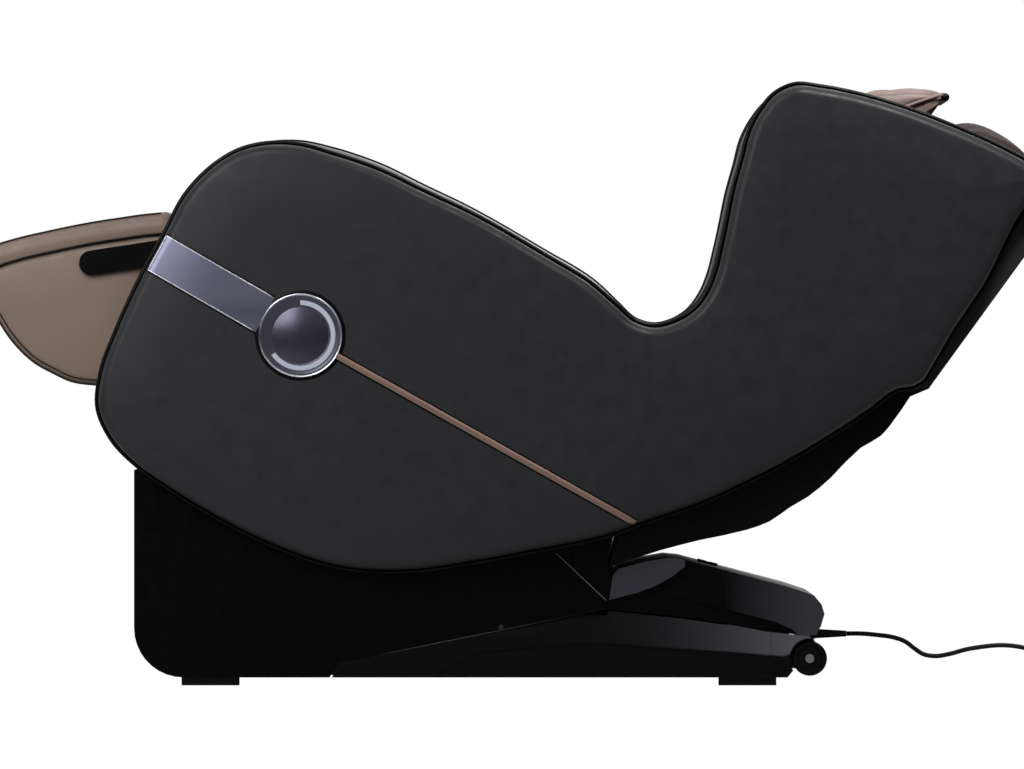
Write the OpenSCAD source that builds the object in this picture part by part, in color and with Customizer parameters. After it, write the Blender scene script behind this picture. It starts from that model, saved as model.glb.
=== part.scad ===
// Reclining massage chair, stored in its most reclined pose.
// X runs from the feet (-) to the head (+), Y across the chair, Z up; the origin is on the floor
// under the middle of the chair. The +Y side mirrors the -Y side, apart from the mains cord.

/* [Overall] */
// Half width over the metal trims
half_width = 345; // [342:1:360]
// Height of the tilting body's pivot above the floor
pivot_z = 250; // [245:1:255]
// Clearance between pieces that only touch
touch_gap = 0.3; // [0.2:0.05:0.5]
// Radial clearance of running shafts
run_gap = 0.05; // [0.02:0.01:0.1]

/* [Side panels] */
// How far the metal trims stand out of the padded side panel
trim_proud = 3; // [2:0.5:4]
// Thickness of the padded side panel
panel_t = 39; // [34:1:44]
// How far the panel's crowned edge is drawn in
panel_crown = 12; // [8:1:14]
// Width of the inner arm bolster
bolster_w = 71; // [60:1:75]
// Height of the bolster's crown above the panel's outline
bolster_crown = 9.5; // [6:0.5:11]
// Radius of the piping cord
piping_r = 3.2; // [2.6:0.1:3.4]
// How far the piping's middle stands out of the panel's outline
piping_lift = 1.2; // [0.6:0.1:1.5]

/* [Side trims] */
// Width of the anodised strip
strip_w = 53; // [45:1:58]
// Length of the strip from the lamp's centre
strip_len = 214; // [190:1:215]
// Downward slope of the strip
strip_slope = 30; // [28:1:32]
// Downward slope of the accent line
accent_slope = 29.3; // [28.5:0.1:30]
// Outer radius of the lamp's bezel
bezel_r = 58; // [54:1:62]
// Radial width of the bezel's rim
bezel_rim = 6; // [4:0.5:8]
// Outer radius of the light ring
ring_r = 50; // [46:1:51]
// Radial width of the light ring
ring_w = 9; // [7:0.5:10]
// Sweep of the light ring, clockwise from the top
ring_sweep = 240; // [180:5:300]
// Radius of the domed cap
dome_r = 38; // [34:1:40]
// Height of the dome above the panel
dome_h = 2.8; // [2:0.1:3]
// Width of the rose-gold accent line
accent_w = 7; // [5:0.5:9]
// Length of the accent line from the lamp's centre
accent_len = 505; // [430:1:508]

/* [Seat and back] */
// Full thickness of the seat cushion
seat_t = 54; // [48:1:58]
// Crown of the seat and back cushions
cushion_crown = 14; // [8:1:18]
// Depth of the sewn channels
channel_depth = 7; // [4:0.5:9]
// Thickness of the back cushion
back_t = 38; // [34:1:40]
// Thickness of the frame's side plates
plate_t = 8; // [6:0.5:10]
// Radius of the frame's cross tubes
tube_r = 13; // [10:0.5:15]
// Radius of the tilt pivot shaft
pivot_r = 14; // [12:0.5:15]
// Wall of the plastic back covers
shell_wall = 4; // [3:0.5:5]

// Half width of the head pillow
pillow_half_w = 150; // [130:1:160]
// Full thickness of the head pillow
pillow_t = 88; // [80:1:89]

/* [Massage mechanism] */
// Radius of the curved guide rail
rail_r = 1020; // [1015:1:1024]
// Half height of the rail's channel
rail_h = 13; // [12:0.5:14]
// Wall of the rail's channel
rail_wall = 4; // [3:0.5:5]
// Distance of the rail's channel from the middle plane
rail_y = 140; // [134:1:150]
// Width of the rail
rail_w = 26; // [20:1:30]
// Radius of a massage roller
roller_r = 28; // [24:1:30]
// Width of a massage roller
roller_w = 22; // [18:1:24]
// Half distance between the two rollers of an arm
roller_span = 62; // [58:1:70]

/* [Leg rest] */
// Gap between the leg rest's arms and the arm bolsters
leg_gap = 12; // [11:1:24]
// Thickness of the leg rest's pad
leg_pad_t = 29; // [26:1:31]
// Depth of the two calf channels
calf_depth = 12; // [8:1:15]
// Half width of one calf channel
calf_half_w = 76; // [60:1:84]
// Wall of the leg rest's shell
leg_wall = 5; // [4:0.5:6]
// Radius of the leg rest's pivot shaft
leg_pivot_r = 9; // [8:0.5:10]
// Width of the leg rest's side arms
leg_arm_w = 34; // [30:1:35]
// Thickness of the leg rest's side arms
leg_arm_t = 7.7; // [6:0.1:9]

/* [Base] */
// Height of the rubber feet
foot_h = 14; // [12:1:16]
// Size of the square frame rails
rail_size = 40; // [36:1:44]
// Wall of the base's side covers
cover_wall = 6; // [5:0.5:7]
// Clearance between the base's side covers and the piping
cover_gap = 0.8; // [0.7:0.1:2]
// Depth of the scoop in the rear cover's sides
scoop_depth = 14; // [8:1:16]
// Height of the front cover's top edge
front_h = 215; // [190:5:225]
// Radius of the transport wheels
wheel_r = 23.5; // [22:0.5:25]
// Width of the transport wheels
wheel_w = 20; // [16:1:22]
// Radius of the wheel axle
axle_r = 5; // [4:0.5:6]

/* [Actuators] */
// Radius of an actuator's outer tube
act_tube_r = 18; // [16:0.5:20]
// Radius of an actuator's rod
act_rod_r = 9; // [8:0.5:10]
// Radius of the pin at a rod's end
act_pin_r = 6; // [5:0.5:7]
// Radial play of the pin that ends the tilt linkage
tilt_play = 2.5; // [2:0.1:3]
// Radial play of the pin that ends the leg linkage
leg_play = 5; // [4.6:0.1:5.5]

/* [Cord] */
// Diameter of the mains cord
cord_d = 6.5; // [6:0.1:7]

/* [Hidden] */

$fn = 64;

leather_dark = [0.17, 0.17, 0.19];
leather_beige = [0.55, 0.47, 0.42];
plastic_black = [0.07, 0.07, 0.08];
plastic_grey = [0.16, 0.16, 0.18];
steel_black = [0.10, 0.10, 0.11];
anodised = [0.33, 0.33, 0.40];
rose_gold = [0.60, 0.45, 0.36];
chrome = [0.75, 0.75, 0.78];
rubber_black = [0.04, 0.04, 0.04];

// ---- main axes, as [x, z] in the side plane ----
tilt_at = [-100, pivot_z];
leg_at = [-432, 572];
lamp_at = [-304, 474];
back_angle = -47.6;
rail_mid = [415.79, 465.78];
rail_at = rail_mid - rail_r * [cos(back_angle), sin(back_angle)];
wheel_at = [385, 36.7];

panel_y = half_width - trim_proud;
panel_in = panel_y - panel_t;
bolster_in = panel_in - bolster_w;
plate_in = bolster_in - plate_t;
cushion_half_w = bolster_in - touch_gap;
leg_half_w = bolster_in - leg_gap - leg_arm_t - touch_gap;
base_half_w = panel_in - 2 * piping_r - touch_gap - cover_gap;

// ---- outline of the side panel, clockwise from the front's lowest corner ----
panel_front = [[-560, 335], [-578, 376], [-574, 423], [-553, 481], [-521, 551], [-489, 610], [-457, 668]];
panel_arm_front = [[-420, 705], [-388, 724], [-351, 733], [-308, 732]];
panel_arm_top = [[-260, 719], [-196, 697], [-142, 671], [-68, 636], [28, 581], [87, 545]];
panel_notch = [[122, 515], [148, 493], [174, 486], [203, 493], [228, 508], [246, 531], [257, 557]];
panel_wing_front = [[267, 597], [274, 630], [283, 674], [294, 714], [304, 751]];
panel_wing_tip = [[319, 779], [338, 801], [364, 813], [400, 810]];
panel_wing_top = [[438, 803], [506, 784], [573, 759], [641, 729], [680, 708]];
panel_head = [[700, 695], [704, 683], [698, 673]];
panel_rear = [[673, 641], [623, 546], [580, 481], [548, 427]];
panel_heel = [[539, 413], [526, 405], [502, 400]];
panel_rear_seam = [[466, 374], [411, 338], [356, 305], [304, 278], [236, 247], [155, 219], [128, 209]];
panel_bottom = [[7, 182], [-82, 166], [-156, 156], [-250, 161], [-333, 187], [-406, 222], [-478, 265],
    [-522, 296]];

panel_points = concat(panel_front, panel_arm_front, panel_arm_top, panel_notch, panel_wing_front,
    panel_wing_tip, panel_wing_top, panel_head, panel_rear, panel_heel, panel_rear_seam, panel_bottom);

// The bolster leaves room under the arm for the base's side cover, which stands there upright
bolster_under = [[304, 284], [240, 270], [170, 266], [110, 268], [6, 247], [-115, 234], [-169, 254],
    [-257, 315], [-325, 376], [-385, 447], [-439, 490], [-493, 508], [-518, 545]];
bolster_points = concat([[-489, 610], [-457, 668]], panel_arm_front, panel_arm_top, panel_notch,
    panel_wing_front, panel_wing_tip, panel_wing_top, panel_head, panel_rear, panel_heel,
    [for (i = [0:2]) panel_rear_seam[i]], bolster_under);

// ---- lines over the pads' tops in the middle plane, as [x, z, share of the thickness] ----
seat_line = [[-484, 653, 0.40], [-458, 642, 0.42], [-430, 628, 0.46], [-372, 596, 0.58], [-280, 546, 0.84],
    [-180, 494, 1], [-90, 447, 1], [-10, 403, 1], [60, 367, 1], [112, 351, 1], [143, 344, 0.94]];
back_line = [[134, 362, 0.9], [170, 396, 1], [232, 452, 1], [300, 518, 1], [370, 586, 1], [440, 648, 1],
    [505, 698, 1], [560, 736, 1], [604, 753, 1], [640, 744, 1], [672, 727, 1], [694, 704, 1]];
leg_line = [[-737, 592, 1], [-720, 599, 1], [-690, 608, 1], [-651, 617, 1], [-618, 624, 1], [-586, 630, 1],
    [-553, 635, 1], [-522, 639.5, 1], [-497, 642, 1]];
pillow_line = [[376, 660, 0.47], [396, 716, 0.82], [432, 770, 0.98], [484, 800, 0.95], [540, 806, 0.74],
    [582, 800, 0.4]];

// ---- curves ----
function span(a, b) = norm(b - a);
function tangent(a, b, c) =
    let (d0 = span(a, b), d1 = span(b, c)) ((b - a) / d0 * d1 + (c - b) / d1 * d0) / (d0 + d1);
function hermite(a, b, ta, tb, t) =
    let (h = span(a, b))
    (2 * t * t * t - 3 * t * t + 1) * a + (t * t * t - 2 * t * t + t) * h * ta
    + (3 * t * t - 2 * t * t * t) * b + (t * t * t - t * t) * h * tb;

// Closed smooth curve through points, n pieces to a span
function smooth_loop(p, n) =
    let (c = len(p))
    [for (i = [0:c - 1], k = [0:n - 1])
        let (a = p[(i + c - 1) % c], b = p[i], d = p[(i + 1) % c], e = p[(i + 2) % c])
        hermite(b, d, tangent(a, b, d), tangent(b, d, e), k / n)];

// Open smooth curve through points, n pieces to a span
function smooth_path(p, n) =
    let (c = len(p), q = concat([2 * p[0] - p[1]], p, [2 * p[c - 1] - p[c - 2]]))
    concat([for (i = [1:c - 1], k = [0:n - 1])
        hermite(q[i], q[i + 1], tangent(q[i - 1], q[i], q[i + 1]), tangent(q[i], q[i + 1], q[i + 2]), k / n)],
        [p[c - 1]]);

function unit(v) = v / norm(v);
// Outward normal of a clockwise loop at point i
function loop_normal(p, i) =
    let (c = len(p), t = unit(p[(i + 1) % c] - p[(i + c - 1) % c])) [-t[1], t[0]];
function inset(p, d) = [for (i = [0:len(p) - 1]) p[i] - d * loop_normal(p, i)];
function reversed(p) = [for (i = [len(p) - 1:-1:0]) p[i]];

function inset_ccw(p, d) = reversed(inset(reversed(p), d));
// The point of a loop that lies furthest towards the head
function far_end(p) = let (x = max([for (q = p) q[0]])) [for (i = [0:len(p) - 1]) if (p[i][0] == x) i][0];
function at_y(p, y) = [for (q = p) [q[0], y, q[1]]];

// ---- solids ----
// Triangles over a ring of n points, bridged between its first half, up to point s, and the rest
function cap(n, s, from, turned) =
    let (m = max(s, n - s))
    [for (k = [0:m - 1], half = [0:1])
        let (i = round(k * s / m), i2 = round((k + 1) * s / m),
            j = round(k * (n - s) / m), j2 = round((k + 1) * (n - s) / m),
            a = from + i, a2 = from + i2, b = from + (n - j) % n, b2 = from + (n - j2) % n,
            face = half == 0 ? [a, a2, b] : [a2, b2, b])
        if (half == 0 ? i2 > i && a2 != b : j2 > j && a2 != b2)
        turned ? [face[2], face[1], face[0]] : face];

// Closed skin over rings of equal length; split is the ring's point where the flat ends are bridged
module loft(rings, split) {
    n = len(rings[0]);
    count = len(rings);
    points = [for (r = rings, q = r) q];
    skin = [for (k = [0:count - 2], i = [0:n - 1], half = [0:1])
        let (a = k * n + i, b = k * n + (i + 1) % n, c = b + n, d = a + n)
        half == 0 ? [a, b, c] : [a, c, d]];
    polyhedron(points = points, convexity = 12,
        faces = concat(skin, cap(n, split, 0, true), cap(n, split, (count - 1) * n, false)));
}

// Profile drawn in [x, z], extruded from y0 to y1
module across(y0, y1) {
    translate([0, y1, 0])
        rotate([90, 0, 0])
            linear_extrude(y1 - y0)
                children();
}

module rod_y(at, r, y0, y1) {
    across(y0, y1)
        translate(at)
            circle(r);
}

// The same solid on both sides
module both_sides() {
    children();
    mirror([0, 1, 0])
        children();
}

// Bar with round ends between two places in the side plane
module link_2d(a, b, w) {
    d = b - a;
    translate(a)
        rotate(atan2(d[1], d[0]))
            union() {
                translate([0, -w / 2])
                    square([norm(d), w]);
                circle(w / 2);
                translate([norm(d), 0])
                    circle(w / 2);
            }
}

// Ring of a round tube, at p, square to the direction t
function tube_ring(p, t, r, sides) =
    let (n = abs(t[2]) > 0.9 ? [1, 0, 0] : [0, 0, 1], u = unit(cross(t, n)), v = cross(u, t))
    [for (i = [0:sides - 1]) let (a = -360 * i / sides) p + r * (cos(a) * u + sin(a) * v)];

module tube(p, r, sides) {
    last = len(p) - 1;
    loft([for (i = [0:last])
        tube_ring(p[i], unit(p[min(i + 1, last)] - p[max(i - 1, 0)]), r, sides)], sides / 2);
}

// ---- soft pads: a crowned section carried along a line in the side plane ----
pad_sides = 20;
pad_foot = 0.97;
function normal_at(path, i) =
    let (q = path[min(i + 1, len(path) - 1)] - path[max(i - 1, 0)], d = unit([q[0], q[1]])) [-d[1], d[0]];
function end_fade(u, e) = let (v = min(1, min(u, 1 - u) / e)) sqrt(1 - (1 - v) * (1 - v));
function pow_sign(v, p) = sign(v) * pow(abs(v), p);
function flat(p) = [p[0], p[1]];
// Underside of a pad of thickness t, d below it
function pad_under(path, t, d) =
    [for (i = [0:len(path) - 1]) flat(path[i]) - normal_at(path, i) * (t * path[i][2] + d)];
module soft_pad(path, half_w, t, crown, grooves = [], calf = 0) {
    last = len(path) - 1;
    loft([for (i = [0:last])
        let (u = i / last, n = normal_at(path, i), full_t = t * path[i][2],
            fade = 0.62 + 0.38 * end_fade(u, 0.10),
            groove = len([for (g = grooves) if (g == i) g]) * channel_depth)
        concat(
            [for (k = [0:pad_sides])
                let (a = 180 * k / pad_sides, y = -half_w * pow_sign(cos(a), 0.42),
                    across_y = y / half_w, round_h = pow(sin(a), 0.5),
                    dip = calf * pow(max(0, cos(90 * min(1, abs(abs(y) - half_w / 2) / calf_half_w))), 2),
                    h = (full_t + crown * (1 - across_y * across_y)) * fade * (0.28 + 0.72 * round_h)
                        - full_t - groove * round_h - dip * fade)
                [path[i][0] + n[0] * h, y, path[i][1] + n[1] * h]],
            [for (y = [half_w * pad_foot, -half_w * pad_foot])
                [path[i][0] - n[0] * full_t, y, path[i][1] - n[1] * full_t]])], pad_sides);
}

// ---- side panels ----
module side_panel() {
    outer = smooth_loop(reversed(panel_points), 2);
    color(leather_dark)
        loft([at_y(inset_ccw(outer, panel_crown), -panel_y),
            at_y(inset_ccw(outer, panel_crown * 0.5), -panel_y + panel_crown * 0.15),
            at_y(inset_ccw(outer, panel_crown * 0.15), -panel_y + panel_crown * 0.5),
            at_y(outer, -panel_y + panel_crown),
            at_y(outer, -panel_in)], far_end(outer));
}

module piping() {
    path = smooth_loop(panel_points, 2);
    n = len(path);
    sides = 6;
    centre = panel_in - piping_r - touch_gap;
    ring = [for (i = [0:n - 1])
        let (m = loop_normal(path, i))
        [for (k = [0:sides - 1])
            let (a = 360 * k / sides, out = piping_lift + piping_r * cos(a))
            [path[i][0] + m[0] * out, -centre + piping_r * sin(a), path[i][1] + m[1] * out]]];
    points = [for (r = ring, q = r) q];
    faces = [for (i = [0:n - 1], k = [0:sides - 1], half = [0:1])
        let (j = (i + 1) % n, l = (k + 1) % sides,
            a = i * sides + k, b = i * sides + l, c = j * sides + l, d = j * sides + k)
        half == 0 ? [a, c, b] : [a, d, c]];
    color(plastic_black)
        polyhedron(points = points, faces = faces, convexity = 12);
}

// How much of the bolster's crown stands at a point of its outline: all of it on the arm's top,
// in the notch and on the wing's front, none elsewhere
function lift(p) =
    p[0] < -330 ? 0
    : p[0] < -230 ? (p[1] > 600 ? (p[0] + 330) / 100 : 0)
    : p[0] < 290 ? (p[1] > 470 ? 1 : 0)
    : p[0] < 320 ? (p[1] > 690 ? (320 - p[0]) / 30 : 0)
    : 0;

module arm_bolster() {
    // ledge that the piping lies on
    seat_in = piping_r + 1.8;
    seat_w = 2 * piping_r + 2 * touch_gap;
    outer = smooth_loop(reversed(bolster_points), 2);
    function grown(f, d) = [for (i = [0:len(outer) - 1])
        let (p = outer[i], m = -loop_normal(outer, i)) p + m * (f * bolster_crown * lift(p) - d)];
    color(leather_dark)
        loft([at_y(grown(0, seat_in), -panel_in),
            at_y(grown(0, seat_in), -panel_in + seat_w),
            at_y(grown(0.55, 1), -panel_in + seat_w + 6),
            at_y(grown(0.9, touch_gap), -panel_in + seat_w + 16),
            at_y(grown(1, touch_gap), -panel_in + seat_w + 30),
            at_y(grown(0.85, touch_gap), -bolster_in - 12),
            at_y(grown(0.4, 2), -bolster_in - 3),
            at_y(grown(0, 5), -bolster_in)], far_end(outer));
}

// ---- side trims ----
module trim_strip() {
    color(anodised)
        across(-half_width, -panel_y)
            difference() {
                translate(lamp_at)
                    rotate(180 - strip_slope)
                        translate([0, -strip_w / 2])
                            square([strip_len, strip_w]);
                translate(lamp_at)
                    circle(bezel_r + touch_gap);
            }
}

module accent_line() {
    color(rose_gold)
        across(-half_width + trim_proud / 2, -panel_y)
            difference() {
                link_2d(lamp_at, lamp_at + accent_len * [cos(-accent_slope), sin(-accent_slope)], accent_w);
                translate(lamp_at)
                    circle(bezel_r + touch_gap);
            }
}

module lamp_bezel() {
    color(anodised)
        translate([lamp_at[0], -panel_y, lamp_at[1]])
            rotate([90, 0, 0])
                rotate_extrude($fn = 96)
                    polygon([[bezel_r - bezel_rim, 0], [bezel_r, 0], [bezel_r, trim_proud - 0.8],
                        [bezel_r - 1, trim_proud], [bezel_r - bezel_rim + 1, trim_proud],
                        [bezel_r - bezel_rim, trim_proud - 1.5]]);
}

module light_ring() {
    color([0.63, 0.65, 0.71])
        translate([lamp_at[0], -panel_y, lamp_at[1]])
            rotate([90, 0, 0])
                rotate([0, 0, 90 - ring_sweep])
                    rotate_extrude(angle = ring_sweep, $fn = 96)
                        translate([ring_r - ring_w, 0])
                            square([ring_w, trim_proud / 2]);
}

module lamp_dome() {
    cap_r = (dome_r * dome_r + dome_h * dome_h) / (2 * dome_h);
    steps = 8;
    color([0.25, 0.24, 0.28])
        translate([lamp_at[0], -panel_y, lamp_at[1]])
            rotate([90, 0, 0])
                rotate_extrude($fn = 96)
                    polygon(concat([[0, 0]],
                        [for (i = [0:steps - 1])
                            let (x = dome_r * (1 - i / steps))
                            [x, dome_h - cap_r + sqrt(cap_r * cap_r - x * x)]],
                        [[0, dome_h]]));
}

// ---- cushions ----
seat_path = smooth_path(seat_line, 3);
back_path = smooth_path(back_line, 2);
pillow_path = smooth_path(pillow_line, 4);
seat_channels = [9, 15, 21];
back_channels = [5, 9, 13];

module seat_cushion() {
    color(leather_beige)
        soft_pad(seat_path, cushion_half_w, seat_t, cushion_crown, seat_channels);
}

module back_cushion() {
    color(leather_beige)
        soft_pad(back_path, cushion_half_w, back_t, cushion_crown, back_channels);
}

module head_pillow() {
    color(leather_beige)
        soft_pad(pillow_path, pillow_half_w, pillow_t, cushion_crown);
}

// ---- back covers ----
// Half width of the covers between the two pipings
shell_y = panel_in - 2 * piping_r - 2 * touch_gap;
seam_curve = smooth_path(reversed(panel_rear_seam), 2);
under_line = [[113, 160], [182, 183], [236, 197], [300, 211], [330, 222], [359, 242], [383, 256], [413, 281],
    [454, 322], [481, 338], [492, 350], [524, 396]];
shell_line = [[546, 402], [690, 600], [716, 640], [724, 668], [718, 684]];

module under_cover() {
    seat = [for (p = seam_curve) p - [0, touch_gap]];
    outside = concat(smooth_path(under_line, 2), [[503, 399 - touch_gap]], reversed(seat));
    inside = inset_ccw(outside, shell_wall);
    color(plastic_grey)
        difference() {
            across(-shell_y, shell_y)
                polygon(outside);
            across(-shell_y + shell_wall, shell_y - shell_wall)
                polygon(inside);
            across(-shell_y + shell_wall, shell_y - shell_wall)
                translate([0, 2 * shell_wall])
                    polygon(inside);
        }
}

module back_shell() {
    edge = smooth_path(concat([panel_head[1], panel_head[2]], panel_rear, [panel_heel[0], panel_heel[1]]), 2);
    outside = concat(shell_line, [for (p = edge) p + [2 * touch_gap, 0]]);
    color(plastic_grey)
        difference() {
            across(-shell_y, shell_y)
                polygon(outside);
            across(-shell_y + shell_wall, shell_y - shell_wall)
                polygon([[552, 414], [684, 596], [710, 640], [716, 668], [690, 660], [600, 545], [540, 428]]);
        }
}

// ---- tilting frame ----
// Rests under both cushions, and reaches down to the pivot
module side_plate_2d() {
    seat_under = pad_under(seat_path, seat_t, touch_gap);
    back_under = pad_under(back_path, back_t, touch_gap);
    polygon(concat(
        [for (i = [1:len(seat_under) - 2]) seat_under[i]],
        [[112, 284], [150, 300]],
        [for (i = [0:16]) back_under[i]],
        [[640, 656], [618, 596], [570, 506], [506, 424], [400, 350], [300, 300], [160, 240], [20, 216],
            [-70, 214], [-135, 214], [-190, 262], [-262, 318], [-310, 352], [-350, 420], [-400, 530],
            [-466, 544]]));
}

tubes_at = [[-290, 372], [0, 285], [606, 590]];
leg_anchor = [-200, 360];
leg_beam_r = 8;

module seat_frame() {
    color(steel_black)
        difference() {
            union() {
                both_sides()
                    across(-bolster_in, -plate_in)
                        side_plate_2d();
                for (at = tubes_at)
                    rod_y(at, tube_r, -plate_in, plate_in);
                // front shaft that carries the leg rest
                rod_y(leg_at, leg_pivot_r, -plate_in, plate_in);
                // beam that carries the leg actuator
                rod_y(leg_anchor, leg_beam_r, -plate_in, plate_in);
            }
            both_sides()
                rod_y(tilt_at, pivot_r + run_gap, -bolster_in - 1, -plate_in + 1);
        }
}

lever_arm = 90;
lever_dir = -125;
tilt_pin_at = tilt_at + lever_arm * [cos(lever_dir), sin(lever_dir)];

module pivot_shaft() {
    color(chrome)
        union() {
            rod_y(tilt_at, pivot_r, -bolster_in, bolster_in);
            both_sides()
                across(-act_pin_r - 13, -act_pin_r - 5)
                    difference() {
                        union() {
                            link_2d(tilt_at, tilt_pin_at, 2 * (act_pin_r + tilt_play) + 14);
                            translate(tilt_at)
                                circle(pivot_r + 9);
                        }
                        translate(tilt_pin_at)
                            circle(act_pin_r + tilt_play);
                    }
        }
}

// ---- massage mechanism, drawn as [out from the rail's centre, along the rail] ----
module on_rail() {
    translate(rail_at)
        rotate(back_angle)
            children();
}
rail_half_len = 256.4;
rail_half_angle = rail_half_len / rail_r * 180 / PI;
strap_angle = rail_half_angle - 1;
strap_w = 24;
strap_t = 15;

module back_rails() {
    color(steel_black)
        union() {
            both_sides()
                translate([rail_at[0], -rail_y - rail_w, rail_at[1]])
                    rotate([-90, 0, 0])
                        rotate([0, 0, -back_angle - rail_half_angle])
                            rotate_extrude(angle = 2 * rail_half_angle, $fn = 360)
                                difference() {
                                    translate([rail_r - rail_h - rail_wall, 0])
                                        square([2 * (rail_h + rail_wall), rail_w]);
                                    translate([rail_r - rail_h, rail_wall])
                                        square([2 * rail_h, rail_w]);
                                }
            for (a = [-strap_angle, strap_angle])
                across(-plate_in + touch_gap, plate_in - touch_gap)
                    translate(rail_at)
                        rotate(back_angle + a)
                            translate([rail_r + rail_h + rail_wall - 1, -strap_w / 2])
                                square([strap_t, strap_w]);
        }
}

arm_axis = [rail_r + 4, 0];
arm_shaft_r = 8;
arm_y = 60;
arm_t = 8;
roller_axle_r = 5;
roller_u = rail_r - 18;
carriage_half_l = 52;
carriage_half_w = 126;
cheek_t = 6;
guide_play = 0.4;
guide_v = 38;

module massage_carriage() {
    inside = carriage_half_w - cheek_t;
    guide_r = rail_h - guide_play;
    guide_u = sqrt(rail_r * rail_r - guide_v * guide_v);
    back_u = rail_r + 34;
    color(steel_black)
        union() {
            // side cheeks
            both_sides()
                across(-carriage_half_w, -inside)
                    on_rail()
                        translate([rail_r - 20, -carriage_half_l])
                            square([back_u + cheek_t - rail_r + 20, 2 * carriage_half_l]);
            // back plate
            across(-inside, inside)
                on_rail()
                    translate([back_u, -carriage_half_l])
                        square([cheek_t, 2 * carriage_half_l]);
            // shaft of the kneading arms
            across(-inside, inside)
                on_rail()
                    translate(arm_axis)
                        circle(arm_shaft_r);
            // guide rollers in the rails
            both_sides()
                for (v = [-guide_v, guide_v]) {
                    across(-rail_y - rail_w + rail_wall + 1, -rail_y + 2)
                        on_rail()
                            translate([guide_u, v])
                                circle(guide_r);
                    across(-rail_y, -carriage_half_w)
                        on_rail()
                            translate([guide_u, v])
                                circle(5);
                }
            // gearbox, with a motor can on each side
            across(-20, 20)
                on_rail()
                    translate([arm_axis[0] - 12, -carriage_half_l + 4])
                        square([back_u - arm_axis[0] + 12, 2 * carriage_half_l - 8]);
            for (side = [-1, 1])
                across(side * 38 - 18, side * 38 + 18)
                    on_rail()
                        translate([arm_axis[0] + 18, side * 26])
                            circle(17);
        }
}

module kneading_arm() {
    color(chrome)
        union() {
            across(-arm_y - arm_t, -arm_y)
                on_rail()
                    difference() {
                        union() {
                            polygon([[roller_u - 9, -roller_span], [roller_u + 9, -roller_span - 4],
                                [arm_axis[0] + 14, -10], [arm_axis[0] + 14, 10],
                                [roller_u + 9, roller_span + 4], [roller_u - 9, roller_span],
                                [arm_axis[0] - 12, 12], [arm_axis[0] - 12, -12]]);
                            translate(arm_axis)
                                circle(arm_shaft_r + 8);
                            for (v = [-roller_span, roller_span])
                                translate([roller_u, v])
                                    circle(10);
                        }
                        translate(arm_axis)
                            circle(arm_shaft_r + run_gap);
                    }
            for (v = [-roller_span, roller_span])
                across(-arm_y, -arm_y + roller_w + 3)
                    on_rail()
                        translate([roller_u, v])
                            circle(roller_axle_r);
        }
}

module massage_roller(side) {
    color(plastic_grey)
        translate([rail_at[0], -arm_y + 1, rail_at[1]])
            rotate([-90, 0, 0])
                rotate([0, 0, -back_angle])
                    translate([roller_u, -side * roller_span, 0])
                        rotate_extrude()
                            polygon([[roller_axle_r + run_gap, 0], [roller_r - 5, 0], [roller_r - 1, 3],
                                [roller_r, roller_w / 2], [roller_r - 1, roller_w - 3],
                                [roller_r - 5, roller_w], [roller_axle_r + run_gap, roller_w]]);
}

// ---- linear actuators ----
function actuator_dir(a, b) = atan2(b[1] - a[1], b[0] - a[0]);

// Motor, gearbox and outer tube; from is the fixed pin, to the rod's pin
module actuator_body(from, to, tube_len, pin_r) {
    union() {
        difference() {
            union() {
                across(-act_tube_r - 1, act_tube_r + 1)
                    translate(from)
                        rotate(actuator_dir(from, to))
                            union() {
                                circle(pin_r + 9);
                                translate([0, -act_tube_r])
                                    square([62, 2 * act_tube_r]);
                            }
                translate([from[0], 0, from[1]])
                    rotate([0, 90 - actuator_dir(from, to), 0])
                        cylinder(r = act_tube_r, h = tube_len);
            }
            rod_y(from, pin_r + run_gap, -act_tube_r - 2, act_tube_r + 2);
            translate([from[0], 0, from[1]])
                rotate([0, 90 - actuator_dir(from, to), 0])
                    translate([0, 0, 66])
                        cylinder(r = act_rod_r + run_gap, h = tube_len);
        }
        // motor can beside the gearbox
        translate([from[0], 34, from[1]])
            rotate([0, 90 - actuator_dir(from, to), 0])
                translate([0, 0, 28])
                    cylinder(r = 17, h = 92);
    }
}

module actuator_rod(from, to, back_len) {
    len_all = norm(to - from);
    union() {
        translate([from[0], 0, from[1]])
            rotate([0, 90 - actuator_dir(from, to), 0])
                translate([0, 0, len_all - back_len])
                    cylinder(r = act_rod_r, h = back_len);
        rod_y(to, act_rod_r, -act_rod_r, act_rod_r);
        rod_y(to, act_pin_r, -act_pin_r - 14, act_pin_r + 14);
    }
}

tilt_anchor = [310, 100];
motor_pin_r = 8;

module tilt_motor() {
    color(plastic_black)
        actuator_body(tilt_anchor, tilt_pin_at, 320, motor_pin_r);
}

module tilt_rod() {
    color(chrome)
        actuator_rod(tilt_anchor, tilt_pin_at, 240);
}

leg_lever = 45;
leg_lever_dir = 200;
leg_pin_at = leg_at + leg_lever * [cos(leg_lever_dir), sin(leg_lever_dir)];

module leg_motor() {
    color(plastic_black)
        actuator_body(leg_anchor, leg_pin_at, 220, leg_beam_r);
}

module leg_rod() {
    color(chrome)
        actuator_rod(leg_anchor, leg_pin_at, 190);
}

// ---- leg rest ----
leg_belly = [[-738, 556], [-735, 532], [-718, 496], [-692, 459], [-668, 437], [-643, 423], [-619, 412],
    [-585, 407], [-553, 407], [-530, 420], [-514, 455], [-505, 520], [-500, 596]];
leg_path = smooth_path(leg_line, 3);
leg_crown = 3;

module legrest_pad() {
    color(leather_beige)
        soft_pad(leg_path, leg_half_w, leg_pad_t, leg_crown, calf = calf_depth);
}

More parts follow.
